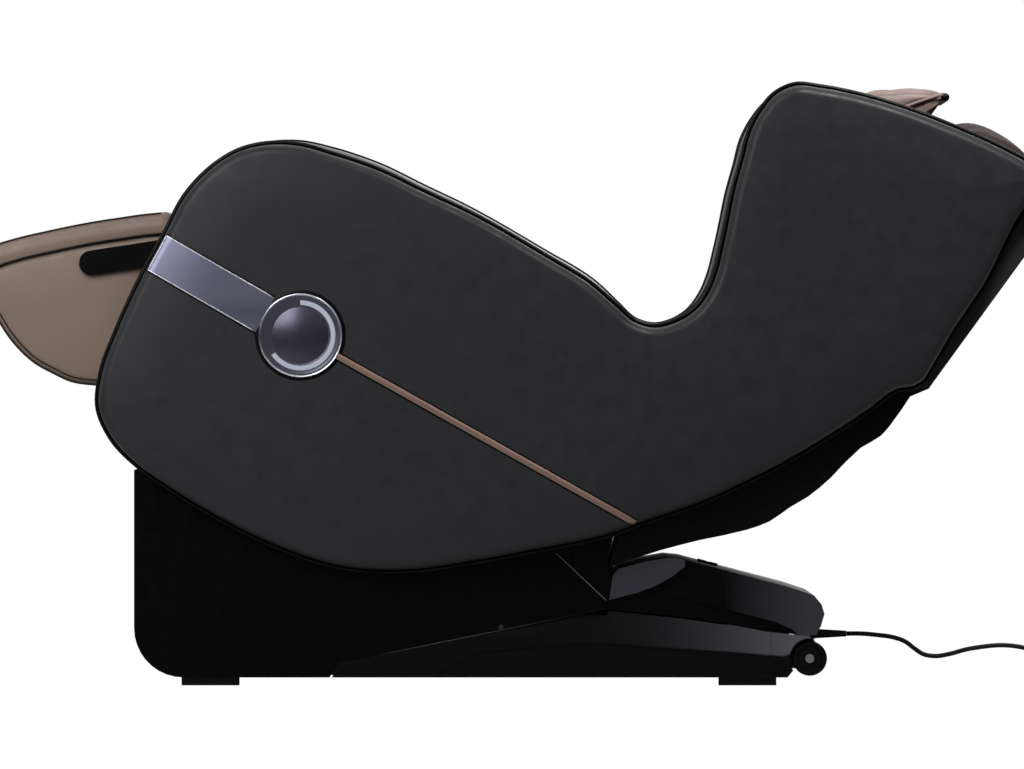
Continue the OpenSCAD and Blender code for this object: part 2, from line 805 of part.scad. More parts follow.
module legrest_shell() {
    under = pad_under(leg_path, leg_pad_t, touch_gap);
    outside = concat(smooth_path(leg_belly, 3), reversed([for (i = [0:3:len(under) - 1]) under[i]]));
    color(leather_beige)
        difference() {
            across(-leg_half_w, leg_half_w)
                polygon(outside);
            // hollow for the air cells, open under the pad
            for (up = [0, 2 * leg_wall])
                across(-leg_half_w + leg_wall, leg_half_w - leg_wall)
                    translate([0, up])
                        polygon(inset_ccw(outside, leg_wall));
        }
}

leg_arm_end = [-590, 573];
leg_arm_bend = [-498, 587];
leg_hub_w = 30;
leg_lever_w = 2 * (act_pin_r + leg_play) + 10;

module legrest_frame() {
    color(steel_black)
        difference() {
            union() {
                both_sides()
                    across(-leg_half_w - touch_gap - leg_arm_t, -leg_half_w - touch_gap)
                        union() {
                            link_2d(leg_arm_bend, leg_arm_end, leg_arm_w);
                            link_2d(leg_at, leg_arm_bend, leg_hub_w);
                        }
                // sleeve that turns on the seat frame's front shaft
                rod_y(leg_at, leg_pivot_r + 5, -leg_half_w - 4, leg_half_w + 4);
                both_sides()
                    across(-act_pin_r - 13, -act_pin_r - 5)
                        link_2d(leg_at, leg_pin_at, leg_lever_w);
            }
            rod_y(leg_at, leg_pivot_r + run_gap, -leg_half_w - 9, leg_half_w + 9);
            rod_y(leg_pin_at, act_pin_r + leg_play, -act_pin_r - 14, act_pin_r + 14);
        }
}

// ---- base ----
rail_y0 = base_half_w - cover_wall - 6 - rail_size;
rail_y1 = base_half_w - cover_wall - 6;
rail_z0 = foot_h;
upright_gap = 30;
upright_y = plate_in - upright_gap;
bush_r = pivot_r + 5;
frame_front = -470;
// Room between the rails' rear ends and the wheels
wheel_room = 16.5;
frame_rear = wheel_at[0] - wheel_r - wheel_room;
frame_len = frame_rear - frame_front;
cross_front = -345;
cross_rear = frame_rear - rail_size - 20;

module base_frame() {
    color(steel_black)
        union() {
            both_sides()
                translate([frame_front, -rail_y1, rail_z0])
                    cube([frame_len, rail_size, rail_size]);
            for (x = [cross_front, cross_rear])
                translate([x, -rail_y0, rail_z0])
                    cube([rail_size, 2 * rail_y0, rail_size]);
            both_sides()
                translate([cross_front + rail_size, -upright_y - 14, rail_z0])
                    cube([cross_rear - cross_front - rail_size, 28, rail_size]);
            // pivot uprights
            both_sides()
                across(-upright_y - 6, -upright_y + 6)
                    difference() {
                        union() {
                            polygon([[-230, rail_z0 + rail_size], [40, rail_z0 + rail_size],
                                [tilt_at[0] + 30, tilt_at[1]], [tilt_at[0] - 30, tilt_at[1]]]);
                            translate(tilt_at)
                                circle(32);
                        }
                        translate(tilt_at)
                            circle(bush_r + run_gap);
                    }
            // ears of the tilt actuator
            both_sides()
                across(-28, -20)
                    union() {
                        translate([tilt_anchor[0] - 20, rail_z0 + rail_size])
                            square([34, tilt_anchor[1] - rail_z0 - rail_size]);
                        translate(tilt_anchor)
                            circle(17);
                    }
            rod_y(tilt_anchor, motor_pin_r, -28, 28);
            // lugs that carry the wheel axle
            both_sides()
                across(-rail_y0 - 14, -rail_y0 - 4)
                    difference() {
                        link_2d([frame_rear - 5, wheel_at[1]], wheel_at, 28);
                        translate(wheel_at)
                            circle(axle_r + run_gap);
                    }
        }
}

module pivot_bushes() {
    color(rose_gold)
        both_sides()
            across(-upright_y - 8, -upright_y + 8)
                translate(tilt_at)
                    difference() {
                        circle(bush_r);
                        circle(pivot_r + run_gap);
                    }
}

module bottom_tray() {
    color(plastic_black)
        translate([cross_front + rail_size + 1, -upright_y + 14 + touch_gap, rail_z0])
            cube([cross_rear - cross_front - rail_size - 2, 2 * (upright_y - 14 - touch_gap), 3]);
}

cover_front = [[-530, 292], [-505, 300], [-440, 264], [-369, 226], [-298, 199], [-156, 178], [-60, 187],
    [10, 206]];
cover_rear = [[40, 181], [110, 115], [109, 104]];
seam_low = [[-254, 31], [-265, 11]];
corner_r = 67;
cover_bottom = 11;

function side_cover_outline() =
    let (corner_at = [cover_front[0][0] + corner_r, cover_bottom + corner_r])
    concat(cover_front, cover_rear, seam_low,
        [for (a = [270:-10:180]) corner_at + corner_r * [cos(a), sin(a)]]);

module side_cover() {
    outline = side_cover_outline();
    color(plastic_black)
        union() {
            across(-base_half_w, -base_half_w + cover_wall)
                polygon(outline);
            // front edge turned in
            across(-base_half_w + cover_wall, -rail_y0)
                intersection() {
                    difference() {
                        polygon(outline);
                        polygon(inset(outline, 5));
                    }
                    translate([frame_front - 70, 30])
                        square([60, 250]);
                }
            // bosses on the frame rail
            for (x = [-420, -220])
                rod_y([x, rail_z0 + rail_size / 2], 10, -base_half_w + cover_wall, -rail_y1);
        }
}

low_top = [[110, 103], [217, 92], [269, 84], [326, 73], [383, 67], [392, 62], [392, 56]];
// The band over the cove leans in from this line, at this angle
band_at = [92, 58];
band_slope = 4.3;
band_lean = 9;
band_wall = cover_wall + 5;
module lower_cover() {
    color(plastic_grey)
        difference() {
            union() {
                across(-base_half_w, -base_half_w + cover_wall)
                    difference() {
                        polygon(concat([[-252, 31]], low_top, [[355, cover_bottom], [-262, cover_bottom]]));
                        translate(wheel_at)
                            circle(wheel_r + 4);
                    }
                // thicker behind the leaning band
                across(-base_half_w + cover_wall, -base_half_w + band_wall)
                    polygon([[112, 101], [217, 90], [269, 82], [320, 72], [340, 58], [92, 56]]);
                for (x = [-150, 100])
                    rod_y([x, rail_z0 + rail_size / 2], 10, -base_half_w + cover_wall, -rail_y1);
            }
            // shallow cove along the foot of the cover
            across(-base_half_w - 1, -base_half_w + 2)
                polygon([[-120, 16], [-60, 46], band_at, [200, 50], [278, 46], [330, 40], [352, 16]]);
            translate([band_at[0], -base_half_w, band_at[1]])
                rotate([0, band_slope, 0])
                    rotate([-band_lean, 0, 0])
                        translate([-400, -50, 0])
                            cube([640, 50, 90]);
        }
}

hood_top = [[112, 107], [118, 148], [126, 158], [158, 167], [192, 173], [213, 171], [358, 133], [391, 122],
    [401, 110], [405, 97], [400, 80], [394, 69]];
// Fold in the hood's side, where the scoop starts, and the edge over the dark recess
hood_fold = [[216, 161], [199, 148], [176, 135], [144, 123], [111, 115.4]];
hood_edge = [[150, 125.4], [186, 125.5], [262, 106], [336, 87], [362, 76]];
scoop_end = 388;
scoop_len = 210;
hood_y = base_half_w - 1;

// What is taken off the hood's side: a scoop that is deepest at the fold and runs out towards the rear,
// and a recess under the edge
module hood_scoop() {
    intersection() {
        across(-hood_y - 1, -hood_y + scoop_depth)
            polygon(concat([[216, 190]], hood_fold, [[111, 60], [410, 60], [410, 190]]));
        translate([scoop_end, -hood_y, 0])
            rotate([0, 0, -atan(scoop_depth / scoop_len)])
                translate([-400, -50, 0])
                    cube([400, 50, 200]);
    }
    across(-hood_y - 1, -hood_y + scoop_depth)
        polygon(concat([[111, 115.4]], hood_edge, [[376, 60], [100, 60], [100, 110]]));
}

// Cheek that closes the base's side between the side cover and the tilting body
hood_cheek = [[60, 104], [60, 188], [72, 200], [119.5, 203], [109, 164], [114, 152], [120, 104]];

module rear_cover() {
    inner_y = hood_y - scoop_depth - shell_wall;
    color(plastic_grey)
        difference() {
            union() {
                across(-hood_y, hood_y)
                    polygon(concat(hood_top, reversed([for (i = [0:4]) low_top[i] + [0, touch_gap]])));
                // rear wall down to the floor of the base
                across(-rail_y0 + 6, rail_y0 - 6)
                    polygon([[394, 72], [389, 50], [352, 44], [350, 16], [346, 16], [348, 48], [385, 54],
                        [388, 72]]);
                both_sides()
                    across(-inner_y - shell_wall, -inner_y)
                        polygon(hood_cheek);
            }
            both_sides()
                hood_scoop();
            across(-inner_y, inner_y)
                polygon([[100, 60], [100, 143], [124, 153], [158, 162], [192, 168], [212, 166],
                    [356, 128.5], [388, 118], [396, 108], [400, 97], [395, 82], [389, 70], [383, 67],
                    [300, 60]]);
            translate([380, 0, strain_z])
                rotate([0, 90, 0])
                    cylinder(r = gland_r, h = 30);
            across(-switch_w / 2, switch_w / 2)
                translate(switch_at)
                    rotate(-hood_slope)
                        translate([-switch_l / 2, -2 * switch_h])
                            square([switch_l, 4 * switch_h]);
        }
}

switch_at = [250, 161];
switch_l = 32;
switch_w = 24;
switch_h = 13;
hood_slope = 14.7;

module power_switch() {
    color([0.10, 0.10, 0.11])
        across(-switch_w / 2 + touch_gap, switch_w / 2 - touch_gap)
            translate(switch_at)
                rotate(-hood_slope)
                    difference() {
                        translate([-switch_l / 2 + 2, -9])
                            square([switch_l - 4, switch_h]);
                        translate([0, 22])
                            circle(18.5);
                    }
}

foot_len = 78;
module feet() {
    color(rubber_black)
        both_sides()
            for (x = [frame_front + 4, frame_rear - foot_len - 5])
                translate([x, -rail_y1 + 2, 0])
                    cube([foot_len, rail_size - 4, foot_h]);
}

front_x = cross_front - 10;
front_round = 24;

module front_cover() {
    wall = 4;
    inner_y = rail_y0 - touch_gap;
    outer_y = base_half_w - cover_wall - touch_gap;
    over_rail = rail_z0 + rail_size + touch_gap;
    color(plastic_black)
        union() {
            // foot, between the rails and against the front cross tube
            across(-inner_y, inner_y)
                translate([front_x, rail_z0 + 2])
                    square([10, over_rail - rail_z0 - 2]);
            across(-outer_y, outer_y)
                difference() {
                    union() {
                        translate([front_x, over_rail])
                            square([wall, front_h - over_rail - front_round]);
                        translate([front_x + front_round, front_h - front_round])
                            circle(front_round);
                        translate([front_x + front_round, front_h - wall])
                            square([20, wall]);
                    }
                    translate([front_x + front_round, front_h - front_round])
                        circle(front_round - wall);
                    translate([front_x + wall, front_h - 2 * front_round - 1])
                        square([3 * front_round, 2 * front_round - wall + 1]);
                }
        }
}

module wheel_axle() {
    color(chrome)
        union() {
            rod_y(wheel_at, axle_r, -rail_y1 - 13, rail_y1 + 13);
            both_sides()
                rod_y(wheel_at, axle_r + 1, -rail_y1 - 13, -rail_y1 - 10);
        }
}

module transport_wheel() {
    color(rubber_black)
        translate([wheel_at[0], -rail_y1 - 9, wheel_at[1]])
            rotate([-90, 0, 0])
                rotate_extrude()
                    polygon([[axle_r + run_gap, 2], [wheel_r - 7, 2], [wheel_r - 6, 0], [wheel_r - 2, 0],
                        [wheel_r, 2.5], [wheel_r, wheel_w - 2.5], [wheel_r - 2, wheel_w],
                        [axle_r + run_gap, wheel_w]]);
}

module control_box() {
    color(plastic_grey)
        union() {
            translate([-280, -90, rail_z0 + 3 + touch_gap])
                cube([150, 180, 62]);
            for (y = [-60, -20, 20, 60])
                translate([-130, y - 12, rail_z0 + 18])
                    cube([8, 24, 14]);
        }
}

module cover_screws() {
    color(chrome)
        both_sides()
            rod_y([-33, 79], 3.5, -base_half_w - 1, -base_half_w);
}

// ---- mains cord ----
strain_z = 65;
gland_r = 8;
gland_x = 382.3;
strain_len = 59.5;

module strain_relief() {
    color(rubber_black)
        translate([gland_x, 0, strain_z])
            rotate([0, 90, 0])
                rotate_extrude()
                    polygon([[0, 0], [gland_r + 3, 0], [gland_r + 3, 2], [gland_r - touch_gap, 2],
                        [gland_r - touch_gap, 14], [6.5, 18], [cord_d / 2 + 0.8, strain_len],
                        [0, strain_len]]);
}

cord_r = cord_d / 2;
cord_route = [[442, 0, 65], [462, 0, 65], [485, 0, 63], [506, 0, 60], [523, 0, 54], [535, 0, 45],
    [547, 0, 37], [564, 0, 34], [584, 0, 37], [606, 0, 43], [630, 0, 47], [656, 0, 49], [684, 0, 46],
    [712, 0, 37], [740, 0, 23], [768, 0, 10], [796, 0, 4], [826, 0, 3.25], [849.7, 0, 3.25]];

module power_cord() {
    color(rubber_black)
        tube(smooth_path(cord_route, 3), cord_r, 8);
}

coil_turns = 3;
coil_pitch = cord_d + 1.5;
coil_rings = 24;
coil_outer = 45;
coil_at = [850, coil_outer, cord_r];
coil_layer = cord_d + 1.2;

// Spirals in over coil_turns, climbs a layer in the half turn where it reverses, and spirals out
function coil_point(t) =
    let (half = coil_turns,
        r = coil_outer - coil_pitch * (t < half ? t : t < half + 0.5 ? half : 2 * half + 0.5 - t),
        climb = t < half ? 0 : t < half + 0.5 ? (1 - cos(360 * (t - half))) / 2 : 1,
        a = -90 + 360 * t)
    [coil_at[0] + r * cos(a), coil_at[1] + r * sin(a), coil_at[2] + coil_layer * climb];
coil_path = [for (i = [0:coil_rings * (2 * coil_turns + 0.5)]) coil_point(i / coil_rings)];
coil_gap = min([for (i = [0:len(coil_path) - 1], j = [i + coil_rings / 2:len(coil_path) - 1])
    norm(coil_path[i] - coil_path[j])]) - cord_d;
echo(coil_least_gap = coil_gap);

module cord_coil() {
    color(rubber_black)
        tube(coil_path, cord_r, 6);
}

module plug() {
    last = len(coil_path) - 1;
    p = coil_path[last];
    d = unit(p - coil_path[last - 1]);
    color(rubber_black)
        translate(p)
            rotate([0, 0, atan2(d[1], d[0])])
                rotate([0, 90, 0])
                    union() {
                        cylinder(r1 = cord_r + 1, r2 = 6, h = 22);
                        translate([-8, -13, 22])
                            cube([16, 26, 26]);
                        for (y = [-9.5, 9.5])
                            translate([0, y, 48])
                                cylinder(r = 2.4, h = 19);
                    }
}

// ---- what is drawn ----
base_frame();
bottom_tray();
side_cover();  // side_cover_l
mirror([0, 1, 0]) side_cover();  // side_cover_r
lower_cover();  // lower_cover_l
mirror([0, 1, 0]) lower_cover();  // lower_cover_r
front_cover();
rear_cover();
feet();
wheel_axle();
transport_wheel();  // wheel_l
mirror([0, 1, 0]) transport_wheel();  // wheel_r
control_box();
pivot_bushes();
cover_screws();
power_switch();
strain_relief();
power_cord();
cord_coil();
plug();
tilt_motor();
tilt_rod();
pivot_shaft();
seat_frame();
back_rails();
side_panel();  // side_panel_l
mirror([0, 1, 0]) side_panel();  // side_panel_r
piping();  // piping_l
mirror([0, 1, 0]) piping();  // piping_r
arm_bolster();  // arm_bolster_l
mirror([0, 1, 0]) arm_bolster();  // arm_bolster_r
trim_strip();  // trim_strip_l
mirror([0, 1, 0]) trim_strip();  // trim_strip_r
accent_line();  // accent_line_l
mirror([0, 1, 0]) accent_line();  // accent_line_r
lamp_bezel();  // lamp_bezel_l
mirror([0, 1, 0]) lamp_bezel();  // lamp_bezel_r
light_ring();  // light_ring_l
mirror([0, 1, 0]) light_ring();  // light_ring_r
lamp_dome();  // lamp_dome_l
mirror([0, 1, 0]) lamp_dome();  // lamp_dome_r
seat_cushion();
back_cushion();
head_pillow();
back_shell();
under_cover();
massage_carriage();
kneading_arm();  // kneading_arm_l
mirror([0, 1, 0]) kneading_arm();  // kneading_arm_r
massage_roller(1);  // roller_upper_l
mirror([0, 1, 0]) massage_roller(1);  // roller_upper_r
massage_roller(-1);  // roller_lower_l
mirror([0, 1, 0]) massage_roller(-1);  // roller_lower_r
leg_motor();
leg_rod();
legrest_frame();
legrest_pad();
legrest_shell();
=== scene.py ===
import math

import bmesh
import bpy
import numpy as np
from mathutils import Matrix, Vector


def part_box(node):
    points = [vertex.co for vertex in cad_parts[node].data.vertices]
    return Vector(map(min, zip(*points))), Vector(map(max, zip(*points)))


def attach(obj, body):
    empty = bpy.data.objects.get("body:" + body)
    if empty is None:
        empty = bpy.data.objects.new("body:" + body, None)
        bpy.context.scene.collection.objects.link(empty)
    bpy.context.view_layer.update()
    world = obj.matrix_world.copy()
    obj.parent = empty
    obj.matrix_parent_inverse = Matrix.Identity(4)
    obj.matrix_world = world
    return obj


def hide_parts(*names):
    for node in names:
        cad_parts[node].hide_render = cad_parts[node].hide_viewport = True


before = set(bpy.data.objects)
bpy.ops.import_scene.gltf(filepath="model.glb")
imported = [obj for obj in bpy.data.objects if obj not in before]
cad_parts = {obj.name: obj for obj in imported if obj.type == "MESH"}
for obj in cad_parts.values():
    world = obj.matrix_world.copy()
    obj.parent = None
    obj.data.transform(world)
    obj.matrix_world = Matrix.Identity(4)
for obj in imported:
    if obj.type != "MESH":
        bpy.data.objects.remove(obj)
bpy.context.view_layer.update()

MM = 0.001

# ---------------------------------------------------------------- camera
CAMERA_AT = (-0.0182, -18.342, 0.4077)
FOCAL_MM = 468.6
SENSOR_MM = 36.0


def make_camera():
    """Long lens, level, square to the chair's side."""
    data = bpy.data.cameras.new("camera")
    data.lens = FOCAL_MM
    data.sensor_width = SENSOR_MM
    data.clip_end = 100.0
    camera = bpy.data.objects.new("camera", data)
    camera.location = CAMERA_AT
    camera.rotation_euler = (math.pi / 2, 0, 0)
    bpy.context.scene.collection.objects.link(camera)
    bpy.context.scene.camera = camera


make_camera()


# ---------------------------------------------------------------- curves
def mm(points):
    """Points written in millimetres, as an array in metres."""
    return np.array(points, dtype=float) * MM


def tangents(before, at, after):
    """Slope at a point of uneven spacing: each chord's slope, weighed by the other chord's length."""
    d0 = np.linalg.norm(at - before, axis=-1, keepdims=True)
    d1 = np.linalg.norm(after - at, axis=-1, keepdims=True)
    return ((at - before) / d0 * d1 + (after - at) / d1 * d0) / (d0 + d1)


def hermite(a, b, ta, tb, steps):
    """Cubic spans from a to b with end slopes ta and tb, steps points to a span."""
    t = (np.arange(steps) / steps)[None, :, None]
    h = np.linalg.norm(b - a, axis=-1)[:, None, None]
    a, b, ta, tb = (v[:, None, :] for v in (a, b, ta, tb))
    curve = ((2 * t**3 - 3 * t**2 + 1) * a + (t**3 - 2 * t**2 + t) * h * ta
             + (3 * t**2 - 2 * t**3) * b + (t**3 - t**2) * h * tb)
    return curve.reshape(-1, a.shape[-1])


def smooth_loop(points, steps):
    """Closed smooth curve through the points."""
    slope = tangents(np.roll(points, 1, 0), points, np.roll(points, -1, 0))
    return hermite(points, np.roll(points, -1, 0), slope, np.roll(slope, -1, 0), steps)


def smooth_path(points, steps):
    """Open smooth curve through the points."""
    first = 2 * points[0] - points[1]
    last = 2 * points[-1] - points[-2]
    p = np.vstack([first, points, last])
    slope = tangents(p[:-2], p[1:-1], p[2:])
    spans = hermite(points[:-1], points[1:], slope[:-1], slope[1:], steps)
    return np.vstack([spans, points[-1]])


def unit(vectors):
    """Each vector at length 1."""
    return vectors / np.linalg.norm(vectors, axis=-1, keepdims=True)


def arc_length(path):
    """Distance along a path to each of its points."""
    return np.concatenate([[0], np.cumsum(np.linalg.norm(np.diff(path, axis=0), axis=1))])


def along(path, where):
    """Points of a path at the given distances along it."""
    s = arc_length(path)
    return np.stack([np.interp(where, s, path[:, k]) for k in range(path.shape[1])], -1)


def evenly(path, count):
    """The path again, as so many points of even spacing."""
    return along(path, np.linspace(0, arc_length(path)[-1], count))


def left_of(direction):
    """Side-plane directions turned a quarter turn to their left."""
    return np.stack([-direction[..., 1], direction[..., 0]], -1)


def loop_normals(loop):
    """Outward normals of a clockwise closed loop in the side plane."""
    return left_of(unit(np.roll(loop, -1, 0) - np.roll(loop, 1, 0)))


def at_y(loop, y):
    """Side-plane points [x, z] as 3-D points at a place across the chair."""
    y = np.broadcast_to(y, loop.shape[:-1])
    return np.stack([loop[..., 0], y, loop[..., 1]], -1)


def smooth_step(x, low, high):
    """0 below low, 1 above high, with a soft S between."""
    t = np.clip((x - low) / (high - low), 0, 1)
    return t * t * (3 - 2 * t)


# ---------------------------------------------------------------- meshes
def grid_faces(rows, cols, wrap=False):
    """Quads between neighbouring rows and columns of a grid of points."""
    r, c = np.meshgrid(np.arange(rows - 1), np.arange(cols if wrap else cols - 1), indexing="ij")
    d = (c + 1) % cols
    return np.stack([r * cols + c, r * cols + d, (r + 1) * cols + d, (r + 1) * cols + c], -1).reshape(-1, 4)


def piece(name, points, faces, material, body, replaced=(), sharp=None, caps=()):
    """One closed shell: doubles merged, faces turned outwards, dressed and hung on its body."""
    mesh = bpy.data.meshes.new(name)
    faces = np.asarray(faces).tolist() + [list(c) for c in caps]
    mesh.from_pydata(np.asarray(points).reshape(-1, 3).tolist(), [], faces)
    work = bmesh.new()
    work.from_mesh(mesh)
    bmesh.ops.remove_doubles(work, verts=work.verts, dist=1e-6)
    bmesh.ops.recalc_face_normals(work, faces=work.faces)
    work.to_mesh(mesh)
    work.free()
    mesh.shade_smooth()
    if sharp:
        mesh.set_sharp_from_angle(angle=math.radians(sharp))
    mesh.materials.append(material)
    obj = bpy.data.objects.new(name, mesh)
    bpy.context.scene.collection.objects.link(obj)
    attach(obj, body)
    if replaced:
        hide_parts(*replaced)
    return obj


def mirrored(points, side):
    """The same points on the -Y side (side 0) or the +Y side (side 1)."""
    return points * np.array([1, -1 if side else 1, 1])


def rings(points, wrap=True, caps=False):
    """Faces over rows of points, with flat ends if asked for."""
    rows, cols = points.shape[:2]
    faces = grid_faces(rows, cols, wrap)
    ends = (range(cols), range((rows - 1) * cols, rows * cols)) if caps else ()
    return faces, ends


def tube_points(path, radius, sides, closed=False, up=(0, 1, 0)):
    """Circles of the given radius, one per row or the same for all, square to a path."""
    if closed:
        t = np.roll(path, -1, 0) - np.roll(path, 1, 0)
    else:
        t = np.gradient(path, axis=0)
    t = unit(t)
    u = unit(np.cross(t, np.array(up, dtype=float)))
    v = np.cross(u, t)
    a = np.linspace(0, 2 * math.pi, sides, endpoint=False)
    radius = np.broadcast_to(radius, len(path))[:, None, None]
    circle = np.cos(a)[None, :, None] * u[:, None, :] + np.sin(a)[None, :, None] * v[:, None, :]
    return path[:, None, :] + radius * circle


def tube(name, path, radius, sides, material, body, replaced=(), closed=False, up=(0, 1, 0)):
    """A round tube along a path, open or closed on itself."""
    points = tube_points(path, radius, sides, closed, up)
    if closed:
        points = np.concatenate([points, points[:1]])
    faces, ends = rings(points, caps=not closed)
    return piece(name, points, faces, material, body, replaced, caps=ends)


# ---------------------------------------------------------------- finishes
def effect_group(name, vectors, values):
    """A shader group with named vector inputs and value outputs, and its two end nodes' sockets."""
    group = bpy.data.node_groups.new(name, "ShaderNodeTree")
    for label in vectors:
        group.interface.new_socket(label, in_out="INPUT", socket_type="NodeSocketVector")
    for label in values:
        group.interface.new_socket(label, in_out="OUTPUT", socket_type="NodeSocketFloat")
    return group, group.nodes.new("NodeGroupInput").outputs, group.nodes.new("NodeGroupOutput").inputs


def grain_group(name):
    """A group of surface grain: a place in, and out of it the relief, a change of tone and of wear."""
    return effect_group(name, ["Vector"], ["Height", "Tone", "Wear"])


def mask_group(name):
    """A group of a mask that paints light and shade into a colour, worked out from a place and the way the surface
    faces.
    """
    return effect_group(name, ["Vector", "Normal"], ["Mask"])


def axes(group, vector):
    """The three parts of a vector, by name."""
    node = group.nodes.new("ShaderNodeSeparateXYZ")
    group.links.new(vector, node.inputs[0])
    return node.outputs


def noise(group, vector, scale, detail=3.0, rough=0.5):
    """Cloudy values at a place, finer with a higher scale."""
    node = group.nodes.new("ShaderNodeTexNoise")
    group.links.new(vector, node.inputs["Vector"])
    node.inputs["Scale"].default_value = scale
    node.inputs["Detail"].default_value = detail
    node.inputs["Roughness"].default_value = rough
    return node.outputs["Fac"]


def calc(group, operation, a, b=0.5):
    """One sum on sockets or plain numbers."""
    node = group.nodes.new("ShaderNodeMath")
    node.operation = operation
    for socket, value in zip(node.inputs, (a, b)):
        if isinstance(value, (int, float)):
            socket.default_value = value
        else:
            group.links.new(value, socket)
    return node.outputs[0]


def spread(group, value, low, high, to_low, to_high):
    """Low to high carried over to another range, and held at its ends."""
    node = group.nodes.new("ShaderNodeMapRange")
    group.links.new(value, node.inputs["Value"])
    for label, number in (("From Min", low), ("From Max", high), ("To Min", to_low), ("To Max", to_high)):
        node.inputs[label].default_value = number
    return node.outputs["Result"]


def leather_grain():
    """Pebbled grain of coated leather, with fine pores, slow softness and a faint change of tone."""
    group, start, end = grain_group("leather_grain")
    at = start["Vector"]
    cells = group.nodes.new("ShaderNodeTexVoronoi")
    cells.feature = "SMOOTH_F1"
    cells.inputs["Scale"].default_value = 420.0
    cells.inputs["Smoothness"].default_value = 0.6
    group.links.new(at, cells.inputs["Vector"])
    pebble = calc(group, "MULTIPLY", calc(group, "SUBTRACT", 1.0, cells.outputs["Distance"]), 0.5)
    crease = calc(group, "MULTIPLY", noise(group, at, 160.0, 4.0, 0.6), 0.35)
    pores = calc(group, "MULTIPLY", noise(group, at, 1500.0, 1.0), 0.15)
    height = calc(group, "ADD", calc(group, "ADD", pebble, crease), pores)
    group.links.new(height, end["Height"])
    group.links.new(noise(group, at, 9.0, 3.0, 0.55), end["Tone"])
    group.links.new(noise(group, at, 38.0, 4.0, 0.6), end["Wear"])
    return group


def mould_grain():
    """Fine spark-eroded grain of moulded plastic, with faint flow marks and dust."""
    group, start, end = grain_group("mould_grain")
    at = start["Vector"]
    group.links.new(noise(group, at, 900.0, 2.0), end["Height"])
    group.links.new(noise(group, at, 5.0, 2.0), end["Tone"])
    group.links.new(noise(group, at, 60.0, 5.0, 0.7), end["Wear"])
    return group


def brushed_grain():
    """Hairline brushing along one direction, from noise stretched by the Mapping before it."""
    group, start, end = grain_group("brushed_grain")
    at = start["Vector"]
    group.links.new(noise(group, at, 900.0, 2.0, 0.6), end["Height"])
    group.links.new(noise(group, at, 240.0), end["Tone"])
    group.links.new(noise(group, at, 30.0), end["Wear"])
    return group


# the hood's scoop and outer side across the chair, between which its painted shade turns to painted light
HOOD_SCOOP_Y, HOOD_SIDE_Y = 0.2865, 0.2942


def painted_scoop_shade_mask():
    """Painted light and shade on the hood: 1 (its lit colour) on the hood's outer side, 0 (painted shade) in its
    scoop and less on what faces up, by the place across the chair.
    """
    group, start, end = mask_group("painted_scoop_shade_mask")
    across = calc(group, "ABSOLUTE", axes(group, start["Vector"])["Y"])
    outer = spread(group, across, HOOD_SCOOP_Y, HOOD_SIDE_Y, 0.0, 1.0)
    flank = spread(group, axes(group, start["Normal"])["Z"], 0.35, 0.9, 1.0, 0.25)
    group.links.new(calc(group, "MULTIPLY", outer, flank), end["Mask"])
    return group


# the lower line of the lower cover's painted highlight band: its height at x 0, its fall, and the corner where it
# turns up
BAND_Z, BAND_FALL, BAND_CORNER_X, BAND_CORNER_RISE = 0.0649, 0.0745, 0.350, 0.4
BAND_FADE = 3.4


def painted_band_highlight_mask():
    """Painted highlight on the lower cover: 1 on the lower cover's band towards the rear, 0 under the band's lower
    line and at the front.
    """
    group, start, end = mask_group("painted_band_highlight_mask")
    place = axes(group, start["Vector"])
    x, z = place["X"], place["Z"]
    line = calc(group, "SUBTRACT", BAND_Z, calc(group, "MULTIPLY", x, BAND_FALL))
    past = calc(group, "MAXIMUM", calc(group, "SUBTRACT", x, BAND_CORNER_X), 0.0)
    edge = calc(group, "ADD", line, calc(group, "MULTIPLY", past, BAND_CORNER_RISE))
    band = spread(group, calc(group, "SUBTRACT", z, edge), 0.0, 0.003, 0.0, 1.0)
    rear = spread(group, x, 0.02, 0.36, 0.05, 1.0)
    group.links.new(calc(group, "MULTIPLY", band, calc(group, "POWER", rear, BAND_FADE)), end["Mask"])
    return group


GRAINS = {"leather": leather_grain(), "mould": mould_grain(), "brushed": brushed_grain()}
# the masks paint light and shade: shade in the hood's scoop and on its top, a highlight on the lower covers' band
MASKS = {"recess": painted_scoop_shade_mask(), "band": painted_band_highlight_mask()}


def srgb(r, g, b):
    """An 8-bit display colour as scene-linear values."""
    c = np.array([r, g, b]) / 255
    return np.where(c <= 0.04045, c / 12.92, ((c + 0.055) / 1.055) ** 2.4)


def plain_material(name):
    """A new material, its tree and its Principled shader."""
    material = bpy.data.materials.new(name)
    material.use_nodes = True
    return material, material.node_tree, material.node_tree.nodes["Principled BSDF"]


